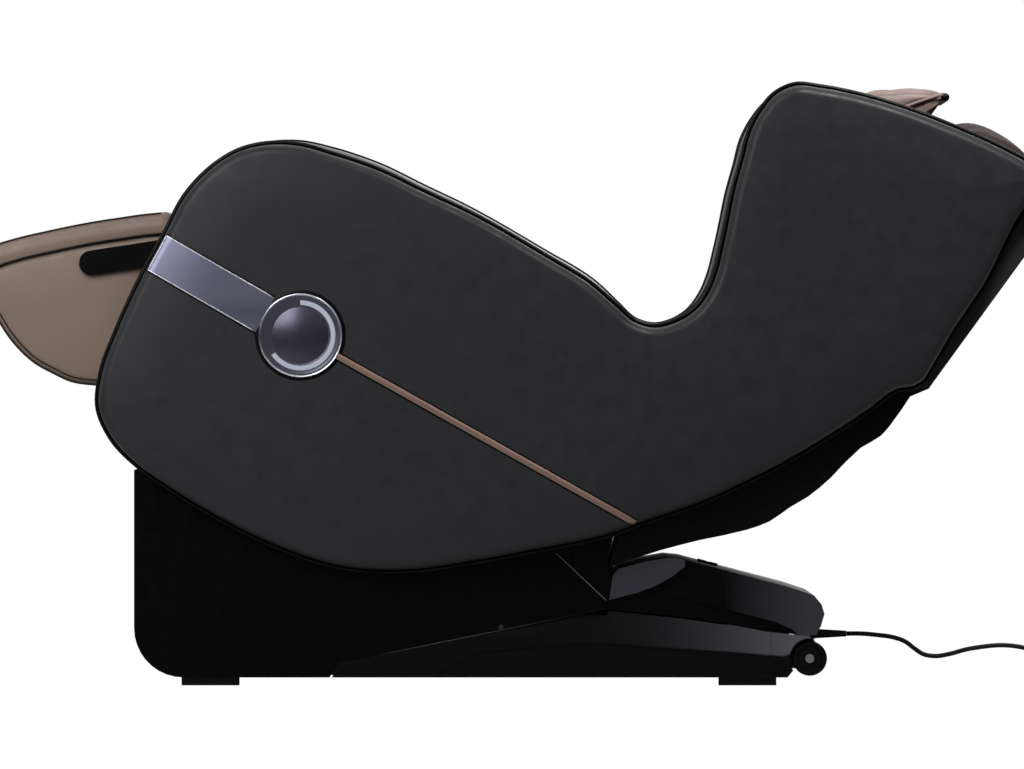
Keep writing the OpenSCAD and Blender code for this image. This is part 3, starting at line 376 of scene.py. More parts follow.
def finish(name, colour, rough, grain, bump, tone=0.08, rough_spread=0.1, stretch=(1, 1, 1), turn=0.0, mask=None,
           shaded=None, **shader):
    """A Principled material whose colour, roughness and normal follow one of the grain groups; where a mask
    is given it paints light and shade: where the mask is 0 it takes the shaded colour instead."""
    material, tree, principled = plain_material(name)
    link = tree.links.new
    place = tree.nodes.new("ShaderNodeTexCoord")
    mapping = tree.nodes.new("ShaderNodeMapping")
    mapping.inputs["Scale"].default_value = stretch
    mapping.inputs["Rotation"].default_value = (0, turn, 0)
    link(place.outputs["Object"], mapping.inputs["Vector"])
    effect = tree.nodes.new("ShaderNodeGroup")
    effect.node_tree = GRAINS[grain]
    link(mapping.outputs["Vector"], effect.inputs["Vector"])
    base = srgb(*colour)
    mix = tree.nodes.new("ShaderNodeMix")
    mix.data_type = "RGBA"
    mix.inputs["A"].default_value = (*(base * (1 - tone)), 1)
    mix.inputs["B"].default_value = (*np.minimum(base * (1 + tone), 1), 1)
    link(effect.outputs["Tone"], mix.inputs["Factor"])
    colour_out = mix.outputs["Result"]
    # painted light and shade: the mask blends the shaded colour into the lit one
    if mask:
        covered = tree.nodes.new("ShaderNodeGroup")
        covered.node_tree = MASKS[mask]
        geometry = tree.nodes.new("ShaderNodeNewGeometry")
        link(place.outputs["Object"], covered.inputs["Vector"])
        link(geometry.outputs["True Normal"], covered.inputs["Normal"])
        shade = tree.nodes.new("ShaderNodeMix")
        shade.data_type = "RGBA"
        shade.inputs["A"].default_value = (*srgb(*shaded), 1)
        link(colour_out, shade.inputs["B"])
        link(covered.outputs["Mask"], shade.inputs["Factor"])
        colour_out = shade.outputs["Result"]
    link(colour_out, principled.inputs["Base Color"])
    link(spread(tree, effect.outputs["Wear"], 0.3, 0.7, rough - rough_spread, rough + rough_spread),
         principled.inputs["Roughness"])
    relief = tree.nodes.new("ShaderNodeBump")
    relief.inputs["Strength"].default_value = 1.0
    relief.inputs["Distance"].default_value = bump
    link(effect.outputs["Height"], relief.inputs["Height"])
    link(relief.outputs["Normal"], principled.inputs["Normal"])
    for label, value in shader.items():
        principled.inputs[label.replace("_", " ")].default_value = value
    return material


LEATHER_BLACK = finish("leather_black", (42, 41, 44), 0.44, "leather", 0.00010, Specular_IOR_Level=0.28)
LEATHER_GLOSSY = finish("leather_glossy", (58, 54, 55), 0.36, "leather", 0.00005, tone=0.04, rough_spread=0.02,
                        Specular_IOR_Level=0.5, Coat_Weight=0.35, Coat_Roughness=0.25)
LEATHER_BEIGE = finish("leather_beige", (137, 118, 105), 0.47, "leather", 0.00012, tone=0.06,
                       Specular_IOR_Level=0.35)
LEATHER_PILLOW = finish("leather_pillow", (156, 136, 129), 0.47, "leather", 0.00012, tone=0.06,
                        Specular_IOR_Level=0.35)
# the back pad's head end: the beige leather darker, as painted shade
LEATHER_HEAD_END_PAINTED_SHADE = finish("leather_head_end_painted_shade", (66, 54, 54), 0.72, "leather", 0.00012, tone=0.08,
                        Specular_IOR_Level=0.08)
LEATHER_DARK = finish("leather_dark", (116, 99, 92), 0.50, "leather", 0.00012, tone=0.08, Specular_IOR_Level=0.3)
PIPING = finish("piping", (4, 4, 5), 0.32, "leather", 0.00004, rough_spread=0.06, Specular_IOR_Level=0.14)
SEAM_DARK = finish("seam_dark", (38, 31, 29), 0.6, "leather", 0.00005, Specular_IOR_Level=0.2)
PLASTIC_BLACK = finish("plastic_black", (6, 6, 7), 0.36, "mould", 0.00002, Specular_IOR_Level=0.06)
# the hood: black plastic with a painted lit grey on its outer side and painted shade in its scoop and on its top
PLASTIC_HOOD_PAINTED_LIGHT_AND_SHADE = finish("plastic_hood_painted_light_and_shade", (62, 61, 68), 0.32, "mould", 0.00001, rough_spread=0.05, mask="recess",
                      shaded=(3, 3, 4), Specular_IOR_Level=0.12)
# the lower covers: black plastic with a painted highlight, a lighter band that fades out towards the front
PLASTIC_LOWER_PAINTED_HIGHLIGHT = finish("plastic_lower_painted_highlight", (96, 95, 102), 0.32, "mould", 0.00001, rough_spread=0.05, mask="band",
                       shaded=(9, 9, 10), Specular_IOR_Level=0.12)
PLASTIC_COVER = finish("plastic_cover", (12, 12, 13), 0.42, "mould", 0.00003, Specular_IOR_Level=0.08)
PLASTIC_SHELL = finish("plastic_shell", (54, 53, 56), 0.46, "mould", 0.00003, Specular_IOR_Level=0.12)
# lighter grey for fine beads on the black covers' edges: a painted highlight
PAINTED_EDGE_HIGHLIGHT = finish("painted_edge_highlight", (104, 103, 108), 0.4, "mould", 0.00001, Specular_IOR_Level=0.3)
STEEL_BLACK = finish("steel_black", (26, 26, 28), 0.45, "mould", 0.00004, Specular_IOR_Level=0.5)
STEEL_BRIGHT = finish("steel_bright", (176, 176, 180), 0.3, "brushed", 0.00002, Metallic=1.0)
BRONZE = finish("bronze", (150, 112, 70), 0.35, "brushed", 0.00002, Metallic=1.0)
RUBBER = finish("rubber", (9, 9, 10), 0.5, "mould", 0.00004, Specular_IOR_Level=0.25)
WHEEL_RUBBER = finish("wheel_rubber", (4, 4, 5), 0.55, "mould", 0.00004, Specular_IOR_Level=0.12)
ROLLER_RUBBER = finish("roller_rubber", (45, 45, 49), 0.5, "mould", 0.00005)
ANODISED = finish("anodised", (116, 117, 136), 0.34, "brushed", 0.00001, tone=0.08, rough_spread=0.04,
                  stretch=(0.04, 1, 1), turn=math.radians(-30), Metallic=0.85)
BRIGHT_RIM = finish("bright_rim", (228, 230, 238), 0.24, "brushed", 0.00001, Metallic=1.0)
ROSE_GOLD = finish("rose_gold", (150, 124, 110), 0.36, "brushed", 0.00001, tone=0.08, rough_spread=0.05,
                   stretch=(0.04, 1, 1), turn=math.radians(29.3), Metallic=0.5)
DIFFUSER = finish("light_diffuser", (126, 131, 142), 0.35, "mould", 0.00001, Emission_Strength=0.85,
                  Emission_Color=(0.28, 0.30, 0.36, 1))
LAMP_RING = finish("lamp_ring", (84, 82, 96), 0.3, "brushed", 0.00001, tone=0.03, rough_spread=0.02, Metallic=0.5)
LAMP_FACE = finish("lamp_cap", (78, 76, 90), 0.27, "brushed", 0.00001, tone=0.03, rough_spread=0.02,
                   Metallic=0.7)

NODE_FINISHES = {
    STEEL_BLACK: ["base_frame", "seat_frame", "back_rails", "massage_carriage", "leg_motor", "tilt_motor",
                  "cover_screws"],
    PLASTIC_BLACK: ["side_cover_l", "side_cover_r", "front_cover", "bottom_tray", "legrest_frame", "power_switch"],
    PLASTIC_HOOD_PAINTED_LIGHT_AND_SHADE: ["rear_cover"],
    PLASTIC_LOWER_PAINTED_HIGHLIGHT: ["lower_cover_l", "lower_cover_r"],
    PLASTIC_COVER: ["under_cover", "control_box"],
    PLASTIC_SHELL: ["back_shell"],
    STEEL_BRIGHT: ["wheel_axle", "pivot_shaft", "tilt_rod", "leg_rod", "kneading_arm_l", "kneading_arm_r"],
    BRONZE: ["pivot_bushes"],
    RUBBER: ["feet", "strain_relief", "plug"],
    WHEEL_RUBBER: ["wheel_l", "wheel_r"],
    ROLLER_RUBBER: ["roller_upper_l", "roller_upper_r", "roller_lower_l", "roller_lower_r"],
}


def dress_nodes():
    """Gives each kept CAD node its finish."""
    for material, names in NODE_FINISHES.items():
        for name in names:
            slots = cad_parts[name].data.materials
            slots.clear()
            slots.append(material)


dress_nodes()

# ---------------------------------------------------------------- mains cord
CORD_D = 0.0065
CORD_ROUTE = mm([
    (442, 0, 65), (462, 0, 65), (485, 0, 63), (506, 0, 60), (523, 0, 54), (535, 0, 45),
    (547, 0, 37), (564, 0, 34), (584, 0, 37), (606, 0, 43), (630, 0, 47), (656, 0, 49), (684, 0, 46), (712, 0, 37),
    (740, 0, 23), (768, 0, 10), (796, 0, 4), (826, 0, 3.25), (849.7, 0, 3.25)])
COIL_TURNS = 3
COIL_PITCH = CORD_D + 0.0015
COIL_LAYER = CORD_D + 0.0012
COIL_OUTER = 0.045
COIL_AT = np.array([0.850, COIL_OUTER, CORD_D / 2])
COIL_STEPS = 36


def coil_path():
    """Spirals in over its turns, climbs a layer in the half turn where it reverses, and spirals out."""
    half = COIL_TURNS
    t = np.arange(0, 2 * half + 0.5, 1 / COIL_STEPS)
    inwards = np.minimum(np.minimum(t, half), 2 * half + 0.5 - t)
    r = COIL_OUTER - COIL_PITCH * inwards
    climb = np.where(t < half, 0, np.where(t < half + 0.5, (1 - np.cos(2 * math.pi * (t - half))) / 2, 1))
    a = 2 * math.pi * t - math.pi / 2
    return COIL_AT + np.stack([r * np.cos(a), r * np.sin(a), COIL_LAYER * climb], -1)


def mains_cord():
    """The free run and the coil as one tube, which ends in the plug."""
    coil = coil_path()
    path = np.vstack([smooth_path(CORD_ROUTE, 4)[:-1], coil])
    cord = tube("mains_cord", path, CORD_D / 2, 12, RUBBER, "base",
                replaced=("power_cord", "cord_coil"), up=(0.02, 1, 0.3))


mains_cord()

# ---------------------------------------------------------------- outlines of the upholstery
PANEL_FRONT = [(-560, 335), (-578, 376), (-574, 423), (-553, 481), (-521, 551), (-489, 610), (-457, 668)]
ARM_FRONT = [(-420, 705), (-388, 724), (-351, 733), (-308, 732)]
ARM_TOP = [(-260, 719), (-196, 697), (-142, 671), (-68, 636), (28, 581), (87, 545)]
NOTCH = [(122, 515), (148, 493), (174, 486), (203, 493), (228, 508), (246, 531), (257, 557)]
WING_FRONT = [(267, 597), (274, 630), (283, 674), (294, 714), (304, 751)]
WING_TIP = [(319, 779), (338, 801), (364, 813), (400, 810)]
WING_TOP = [(438, 803), (506, 784), (573, 759), (641, 729), (680, 708)]
HEAD = [(700, 695), (704, 683), (698, 673)]
REAR = [(673, 641), (623, 546), (580, 481), (548, 427)]
HEEL = [(539, 413), (526, 405), (502, 400)]
REAR_SEAM = [(466, 374), (411, 338), (356, 305), (304, 278), (236, 247), (155, 219), (128, 209)]
BOTTOM = [(7, 182), (-82, 166), (-156, 156), (-250, 161), (-333, 187), (-406, 222), (-478, 265), (-522, 296)]
BOLSTER_UNDER = [(304, 284), (240, 270), (170, 266), (110, 268), (6, 247), (-115, 234), (-169, 254), (-257, 315),
                 (-325, 376), (-385, 447), (-439, 490), (-493, 508), (-518, 545)]

UPPER_EDGE = ARM_FRONT + ARM_TOP + NOTCH + WING_FRONT + WING_TIP + WING_TOP + HEAD
PANEL = mm(PANEL_FRONT + UPPER_EDGE + REAR + HEEL + REAR_SEAM + BOTTOM)
BOLSTER = mm([(-489, 610), (-457, 668)] + UPPER_EDGE + REAR + HEEL + REAR_SEAM[:3] + BOLSTER_UNDER)

PANEL_Y = 0.342
PANEL_IN = 0.303
PANEL_CROWN = 0.012
PANEL_SOFT = 0.005
PANEL_SOFT_REACH = 0.085
PANEL_EDGE_IN = 0.0018
PANEL_BACK_IN = 0.0047
BOLSTER_IN = 0.232
BOLSTER_CROWN = 0.0095
PIPING_R = 0.0032
PIPING_LIFT = 0.0012
CROWN_PIPING_R = 0.0018
CROWN_PIPING_Y = 0.262
STEPS = 12


def edge_distance(points, loop):
    """Distance of side-plane points from a closed loop, by the nearest point of each of its spans."""
    a = loop[None]
    span = np.roll(loop, -1, 0)[None] - a
    best = np.full(len(points), 9.0)
    for start in range(0, len(points), 4000):
        p = points[start:start + 4000, None]
        t = np.clip(((p - a) * span).sum(-1) / (span**2).sum(-1), 0, 1)
        best[start:start + 4000] = np.linalg.norm(p - a - t[..., None] * span, axis=-1).min(1)
    return best


def padded_depth(points, loop, crown, soft, reach):
    """How far a padded face lies behind its highest plane: a round edge, then a slow fall to it."""
    d = edge_distance(points, loop)
    edge = 1 - np.clip(d / crown, 0, 1)
    slow = 1 - np.clip(d / reach, 0, 1)
    return crown * (1 - np.sqrt(1 - edge**2)) + soft * slow**2


PANEL_LOOP = smooth_loop(PANEL, STEPS)
FACE_LOOP = PANEL_LOOP - PANEL_EDGE_IN * loop_normals(PANEL_LOOP)
BACK_LOOP = PANEL_LOOP - PANEL_BACK_IN * loop_normals(PANEL_LOOP)


def panel_depth(points):
    """Depth of the side panel's face behind its highest plane."""
    return padded_depth(points, FACE_LOOP, PANEL_CROWN, PANEL_SOFT, PANEL_SOFT_REACH)


def part(path, share):
    """Points at the given shares of a path's length."""
    return along(path, share * arc_length(path)[-1])


def four_sided(loop, nu, nv):
    """The panel outline's front, top, head and bottom blended into a grid: the sum of the two straight
    blends between opposite sides, less the blend between the four corners."""
    loop = np.vstack([loop, loop[:1]])
    count = len(PANEL_FRONT) + len(UPPER_EDGE)
    front_end, top_end, head_end = ((n - 1) * STEPS for n in (len(PANEL_FRONT), count - 2, count))
    u = (1 - np.cos(np.linspace(0, math.pi, nu))) / 2
    v = (1 - np.cos(np.linspace(0, math.pi, nv))) / 2
    front = part(loop[:front_end + 1][::-1], v)
    top = part(loop[front_end:top_end + 1], u)
    head = part(loop[top_end:head_end + 1], v)
    bottom = part(loop[head_end:][::-1], u)
    u, v = u[:, None, None], v[None, :, None]
    return ((1 - v) * top[:, None] + v * bottom[:, None] + (1 - u) * front[None] + u * head[None]
            - (1 - u) * (1 - v) * top[0] - (1 - u) * v * bottom[0] - u * (1 - v) * top[-1] - u * v * bottom[-1])


def side_panel(side):
    """Face: the outline's four sides blended into a grid, raised by the distance from the edge. Back: the
    same over a smaller outline. Wall: rows that join their rims, drawn in where the piping lies."""
    nu, nv = 340, 96
    face, back = (four_sided(loop, nu, nv).reshape(-1, 2) for loop in (FACE_LOOP, BACK_LOOP))
    index = np.arange(nu * nv).reshape(nu, nv)
    rim = np.concatenate([index[:-1, 0], index[-1, :-1], index[:0:-1, -1], index[0, :0:-1]])
    wall_y = np.array([0.321, 0.313, 0.3075, 0.3045])[:, None]
    share = np.array([0.0, 0.03, 0.2, 0.5])[:, None, None]
    wall = at_y(face[rim] * (1 - share) + back[rim] * share, -wall_y)
    count, n = nu * nv, len(rim)
    points = np.vstack([at_y(face, panel_depth(face) - PANEL_Y), at_y(back, -PANEL_IN), wall.reshape(-1, 3)])
    rows = np.vstack([rim[None], 2 * count + np.arange(4 * n).reshape(4, n), rim[None] + count])
    after = np.roll(rows, -1, 1)
    walls = np.stack([rows[:-1], after[:-1], after[1:], rows[1:]], -1).reshape(-1, 4)
    faces = np.vstack([grid_faces(nu, nv), grid_faces(nu, nv) + count, walls])
    name = "lr"[side]
    obj = piece(f"panel_leather_{name}", mirrored(points, side), faces, LEATHER_BLACK,
                "seat_body", (f"side_panel_{name}",))


def edge_piping(side):
    """Round piping along the panel's outline."""
    name = "lr"[side]
    path = at_y(PANEL_LOOP + PIPING_LIFT * loop_normals(PANEL_LOOP), -(PANEL_IN - PIPING_R - 0.0003))
    tube(f"edge_piping_{name}", mirrored(path, side), PIPING_R, 12, PIPING, "seat_body",
         (f"piping_{name}",), closed=True)


def bolster_lift(loop):
    """Share of the crown at each point of the bolster's outline: all on the arm, the notch and the wing's
    front, none elsewhere, and softened along the outline."""
    x, z = loop[:, 0], loop[:, 1]
    arm = np.interp(x, [-.40, -.36, -.32, -.288, -.256, -.22, -.16, -.10, -.06, 0, .06, .10, .13, .17, .25],
                    [0, .15, .47, .71, .92, .88, .82, .78, .66, .62, .7, .65, .42, .42, .42])
    wing = np.interp(z, [.55, .60, .67, .72, .78, .80], [.36, .28, .20, .14, .05, 0])
    lift = np.where(x > 0.25, wing, arm) * (z > 0.47) * (x < 0.32)
    kernel = np.hanning(15)
    padded = np.concatenate([lift[-20:], lift, lift[:20]])
    return np.convolve(padded, kernel / kernel.sum(), "same")[20:-20]


def arm_bolster(side):
    """Rows of the outline from the piping's ledge over the crown to the inner face."""
    loop = smooth_loop(BOLSTER, STEPS)
    normal = loop_normals(loop)
    lift = bolster_lift(loop)[:, None]
    stations = [  # share of the crown, how far drawn in, place across
        (0, .0048, .303), (0, .0046, .2975), (.25, .0020, .2945), (.55, .0006, .2905), (.80, .0002, .285),
        (.96, .0001, .277), (1, .0001, .268), (.98, .0001, .259), (.9, .0002, .250), (.74, .0006, .243),
        (.5, .0016, .2375), (.2, .0034, .2340), (0, .006, .2325), (0, .012, .2318), (0, .030, .2312)]
    share, draw, y = (np.interp(np.linspace(0, 14, 57), range(15), column) for column in zip(*stations))
    rows = loop[None] + normal[None] * (share[:, None, None] * lift[None] * BOLSTER_CROWN - draw[:, None, None])
    points = at_y(rows, -y[:, None])
    faces, ends = rings(points, caps=True)
    name = "lr"[side]
    obj = piece(f"arm_leather_{name}", mirrored(points, side), faces, LEATHER_GLOSSY, "seat_body",
                (f"arm_bolster_{name}",), caps=ends)
    # second piping, along the inner edge of the crown
    first, last = STEPS, (2 + len(UPPER_EDGE)) * STEPS
    crown = loop + normal * (lift * BOLSTER_CROWN + 0.0006)
    path = mirrored(at_y(crown[first:last], -CROWN_PIPING_Y), side)
    tube(f"crown_piping_{name}", path, CROWN_PIPING_R, 8, PIPING, "seat_body")


for side in (0, 1):
    side_panel(side)
    edge_piping(side)
    arm_bolster(side)

# ---------------------------------------------------------------- side trims
LAMP_AT = np.array([-0.304, 0.474])
STRIP_W = 0.053
STRIP_SLOPE = math.radians(30)
LINE_SLOPE = math.radians(29.3)
BEZEL_R = 0.0568
TRIM_START = BEZEL_R - 0.002
EDGE_ROOM = 0.0022
STRIP_HUG = 0.4

# sections of the trims, as [share of the half width, height over the leather]
STRIP_SECTION = [(-1, -.009), (-1, .0022), (-.965, .003), (-.5, .003), (0, .003), (.5, .003), (.965, .003),
                 (1, .0022), (1, -.009)]
LINE_SECTION = [(-1, -.003), (-1, .0006), (-.7, .0012), (-.1, .0019), (.25, .0019), (.75, .0009), (1, .0003),
                (1, -.003)]
# a black band a little wider than its trim, just over the leather: painted shadow round the trim
PAINTED_SHADOW_SECTION = [(-1, -.003), (-1, .0001), (-.9, .0004), (0, .0005), (.9, .0004), (1, .0001), (1, -.003)]


def slanted_axis(angle):
    """Unit vectors along a trim's axis and across it, in the side plane."""
    direction = np.array([math.cos(angle), -math.sin(angle)])
    return direction, np.array([direction[1], -direction[0]])


def edge_reach(angle, offset, start):
    """Distance from the lamp at which a slanted line, moved sideways, comes to the panel's edge."""
    direction, across = slanted_axis(angle)
    s = np.linspace(start, start + 0.12, 600)
    return s[np.argmin(edge_distance(LAMP_AT + s[:, None] * direction + offset * across, FACE_LOOP))] - EDGE_ROOM


def band_place(s, offset, lift, angle, hug=1.0):
    """Places on the padded face, at distances along and across a slanted axis, and a height over it. A stiff
    band hugs the round edge less than leather does."""
    direction, across = slanted_axis(angle)
    flat = LAMP_AT + s[..., None] * direction + offset[..., None] * across
    places = flat.reshape(-1, 2)
    slow = padded_depth(places, FACE_LOOP, 1e-6, PANEL_SOFT, PANEL_SOFT_REACH)
    depth = (slow + hug * (panel_depth(places) - slow)).reshape(flat.shape[:-1])
    return at_y(flat, depth - PANEL_Y - lift)


def trim_band(name, ends, half_w, section, material, replaced, angle, side, nu, extra=0.0, hug=1.0):
    """A band that follows the padded face: a section carried along a slanted axis, whose far end is cut
    along the line between the two given reaches."""
    t = np.sin(np.linspace(0, math.pi / 2, nu))[:, None]
    share, lift = np.array(section).T
    end = (ends[0] + ends[1]) / 2 + share * (ends[1] - ends[0]) / 2 + extra
    s = TRIM_START + t * (end - TRIM_START)
    points = band_place(s, np.broadcast_to(share * half_w, s.shape), lift, angle, hug)
    faces, ends = rings(points, caps=True)
    return piece(name, mirrored(points, side), faces, material, "seat_body", replaced, sharp=28, caps=ends)


WHOLE_TURN = 2 * math.pi
RING_SWEEP = math.radians(236)
LAMP_STEPS = 96
CAP_R, CAP_FOOT, CAP_RISE = 0.0382, 0.0006, 0.0052
CAP_PROFILE = [(CAP_R * k, CAP_FOOT + CAP_RISE * (1 - k**2.2)) for k in np.linspace(0, 1, 40)]

LAMP_PARTS = [  # name, profile as [radius, height over the leather], sweep, finish, slot, node replaced
    ("bezel", [(.0536, -.001), (.0568, -.001), (.0568, .0018), (.0564, .0028), (.0556, .0032), (.0548, .0030),
               (.0542, .0024), (.0536, .0016)], WHOLE_TURN, BRIGHT_RIM, "anodised", "lamp_bezel"),
    # a black ring round the bezel: painted shadow
    ("lamp_painted_shadow", [(.0550, -.002), (.0614, -.002), (.0614, .0001), (.0604, .0004), (.0566, .0007),
                     (.0550, .0007)], WHOLE_TURN, PIPING, "piping", None),
    ("lamp_annulus", [(.0370, -.001), (.0538, -.001), (.0538, .0018), (.0525, .0020), (.0508, .0014),
                      (.0490, .0010), (.0400, .0010), (.0384, .0004), (.0370, .0004)],
     WHOLE_TURN, LAMP_RING, "lamp_cap", None),
    ("ring_light", [(.0410, .0008), (.0474, .0008), (.0474, .0015), (.0467, .0020), (.0417, .0020),
                    (.0410, .0015)], RING_SWEEP, DIFFUSER, "light_diffuser", "light_ring"),
    ("lamp_cap", [(0, -.001)] + CAP_PROFILE + [(CAP_R, -.001)], WHOLE_TURN, LAMP_FACE, "lamp_cap", "lamp_dome"),
]


def revolve(name, profile, sweep, material, replaced, side):
    """A profile of [radius, height] turned about the lamp's axis; a part turn is closed by flat ends."""
    whole = sweep >= WHOLE_TURN
    a = np.linspace(0, sweep, LAMP_STEPS, endpoint=not whole)[:, None]
    r, h = np.array(profile).T
    points = np.stack([LAMP_AT[0] + r * np.sin(a), np.broadcast_to(-PANEL_Y - h, (len(a), len(r))),
                       LAMP_AT[1] + r * np.cos(a)], -1)
    if whole:
        points = np.concatenate([points, points[:1]])
    faces, ends = rings(points, caps=not whole)
    piece(name, mirrored(points, side), faces, material, "seat_body", replaced, sharp=30, caps=ends)


def side_lamp(side):
    """Thin bright rim, sloped dark annulus, light ring and a domed cap, on a black ring of painted shadow."""
    n = "lr"[side]
    for name, profile, sweep, material, slot, node in LAMP_PARTS:
        revolve(f"{name}_{n}", profile, sweep, material, (f"{node}_{n}",) if node else (), side)


def side_trims(side):
    """The strip on a black band of painted shadow with a bright rim round it, the accent line on its own band of
    painted shadow, and the lamp.
    """
    n = "lr"[side]
    slope, half = math.pi + STRIP_SLOPE, STRIP_W / 2
    ends = [edge_reach(slope, offset, 0.16) for offset in (-half, half)]
    trim_band(f"strip_painted_shadow_{n}", ends, half + 0.0026, PAINTED_SHADOW_SECTION, PIPING, (), slope, side, 90,
              extra=0.0012)
    trim_band(f"strip_{n}", ends, half, STRIP_SECTION, ANODISED, (f"trim_strip_{n}",), slope, side, 90,
              hug=STRIP_HUG)
    t = np.sin(np.linspace(0, math.pi / 2, 60))
    low, high = (TRIM_START + 0.004 + t * (end - TRIM_START - 0.0045) for end in ends)
    s = np.concatenate([low, np.linspace(low[-1], high[-1], 14)[1:-1], high[::-1]])
    offset = np.concatenate([np.full(60, -half), np.linspace(-half, half, 14)[1:-1], np.full(60, half)])
    rim = band_place(s, offset * 0.985, .0027, slope, STRIP_HUG)
    tube(f"strip_rim_{n}", mirrored(rim, side), .0009, 8, BRIGHT_RIM, "seat_body")
    ends = [edge_reach(LINE_SLOPE, 0.0, 0.46)] * 2
    trim_band(f"line_painted_shadow_{n}", ends, .0064, PAINTED_SHADOW_SECTION, PIPING, (), LINE_SLOPE, side, 160)
    trim_band(f"line_{n}", ends, .0041, LINE_SECTION, ROSE_GOLD, (f"accent_line_{n}",),
              LINE_SLOPE, side, 160)
    side_lamp(side)


for side in (0, 1):
    side_trims(side)


# ---------------------------------------------------------------- pads
def box_distance(s, y, half_s, half_y, corner):
    """How far inside a rectangle with round corners a point lies."""
    qs = np.abs(s) - half_s + corner
    qy = np.abs(y) - half_y + corner
    out = np.hypot(np.maximum(qs, 0), np.maximum(qy, 0)) + np.minimum(np.maximum(qs, qy), 0) - corner
    return np.maximum(-out, 0)


def round_rectangle(half_s, half_y, corner, count):
    """Outline of a rectangle with round corners, evenly spaced."""
    a = np.linspace(0, math.pi / 2, 24)
    arc = np.stack([np.cos(a), np.sin(a)], -1) * corner
    inner = np.array([half_s - corner, half_y - corner])
    quarter = arc + inner
    path = np.vstack([quarter, (quarter * [-1, 1])[::-1], -quarter, (quarter * [1, -1])[::-1]])
    return evenly(np.vstack([path, path[:1]]), count + 1)[:-1]


def pad_points(line, half_w, thick, crown, roll, corner, relief=None, bulge=0.0, around=480, top_rows=64):
    """A boxed pad bent along a line in the side plane, as rows of closed loops: from the middle of the top
    out to the rim, down the bulged side and in again underneath. Heights are over the line."""
    path = smooth_path(np.array(line) * [MM, MM, 1], 24)
    s_all = arc_length(path[:, :2])
    length = s_all[-1]
    outline = round_rectangle(length / 2, half_w, corner, around)
    t = np.linspace(0, 1, top_rows)
    side_rows, under_rows = 10, 16
    share = np.concatenate([np.sin(t * math.pi / 2), np.ones(side_rows), np.linspace(0.985, 0, under_rows)])
    plan = share[:, None, None] * outline[None]
    s, y = plan[..., 0], plan[..., 1]
    d = box_distance(s, y, length / 2, half_w, corner)
    edge = 1 - np.clip(d / roll, 0, 1)
    depth = np.interp(s + length / 2, s_all, path[:, 2]) * thick
    top = crown * (1 - np.clip(np.abs(y) / half_w, 0, 1) ** 2.4) * smooth_step(d, -0.02, 0.10)
    top = top - roll * (1 - np.sqrt(1 - edge**2))
    if relief is not None:
        top = top + relief(s + length / 2, y, d, length)
    height = top
    first = top_rows
    k = (np.arange(side_rows) + 0.5) / side_rows
    rim = top[first - 1]
    height[first:first + side_rows] = rim - k[:, None] * (depth[first:first + side_rows] + rim)
    grow = 1 + bulge * np.sin(k * math.pi)[:, None]
    y[first:first + side_rows] *= grow
    s[first:first + side_rows] *= 1 + (grow - 1) * half_w * 2 / length
    height[first + side_rows:] = -depth[first + side_rows:]
    where = s + length / 2
    centre = np.stack([np.interp(where, s_all, path[:, k2]) for k2 in (0, 1)], -1)
    slope = unit(np.gradient(path[:, :2], s_all, axis=0))
    tangent = unit(np.stack([np.interp(where, s_all, slope[:, k2]) for k2 in (0, 1)], -1))
    beyond = where - np.clip(where, 0, length)
    centre = centre + beyond[..., None] * tangent
    flat = centre + left_of(tangent) * height[..., None]
    return np.stack([flat[..., 0], y, flat[..., 1]], -1)


def pad(name, points, material, body, replaced):
    """Closes the rows of a pad into one shell."""
    faces, _ = rings(points)
    obj = piece(name, points, faces, material, body, replaced)
    return obj


def sewn_channels(places, depth, width):
    """Relief of channels sewn across a pad: narrow V seams between soft lobes."""
    def relief(s, y, d, length):
        inside = smooth_step(d, 0.0, 0.03)
        near = np.min(np.abs(s[..., None] - np.array(places)), axis=-1)
        return -depth * np.exp(-near / width) * inside
    return relief


SEAT_LINE = [(-460, 643, .42), (-430, 628, .46), (-372, 596, .58), (-280, 546, .84),
             (-180, 494, 1), (-90, 447, 1), (-10, 403, 1), (60, 367, 1), (112, 351, 1), (143, 344, .94)]
BACK_LINE = [(134, 362, .9), (170, 396, 1), (232, 452, 1), (300, 518, 1), (370, 586, 1), (440, 648, 1),
             (505, 698, 1), (560, 736, 1), (604, 753, 1), (640, 744, 1), (672, 727, 1), (694, 704, 1)]
LEG_LINE = [(-737, 592, 1), (-720, 599, 1), (-690, 608, 1), (-651, 617, 1), (-618, 624, 1), (-586, 630, 1),
            (-553, 635, 1), (-522, 639.5, 1), (-497, 642, 1), (-480, 643.5, 1)]
PILLOW_LINE = [(376, 659, .30), (395, 715, .34), (426, 769, .36), (461, 801.5, .36), (505, 810.5, .29),
               (542, 811, .17), (569, 807.5, .07)]
PILLOW_BACK = [(390, 664), (410, 715), (438, 762), (479, 784), (517, 790.5), (545, 797.5), (568, 799.5), (554, 775),
               (533, 751), (503, 721), (470, 694), (430, 660), (408, 646)]
PILLOW_WELT = [(426, 740), (461, 769.5), (505, 784), (518, 787), (542, 795.5), (571, 804.5)]
PILLOW_HALF_W = 0.150
PILLOW_EDGE = 0.011
PILLOW_TIP = (0.5735, 0.8000)
CUSHION_HALF_W = 0.2317
PAINTED_SHADE_FROM_X = 0.545
LEG_HALF_W = 0.212
LEG_PAD_T = 0.029


def calf_channels(s, y, d, length):
    """Two long hollows for the calves, shallower at both ends."""
    hollow = np.clip(1 - np.abs(np.abs(y) - LEG_HALF_W / 2) / 0.076, 0, 1)
    hollow = hollow * hollow * (3 - 2 * hollow)
    return -0.012 * hollow * (0.35 + 0.65 * smooth_step(d, 0.0, 0.05))


def both_halves(near):
    """Rows from the middle of the near side to its rim, and on over the far side's."""
    return np.concatenate([near, near[::-1] * [1, -1, 1]])


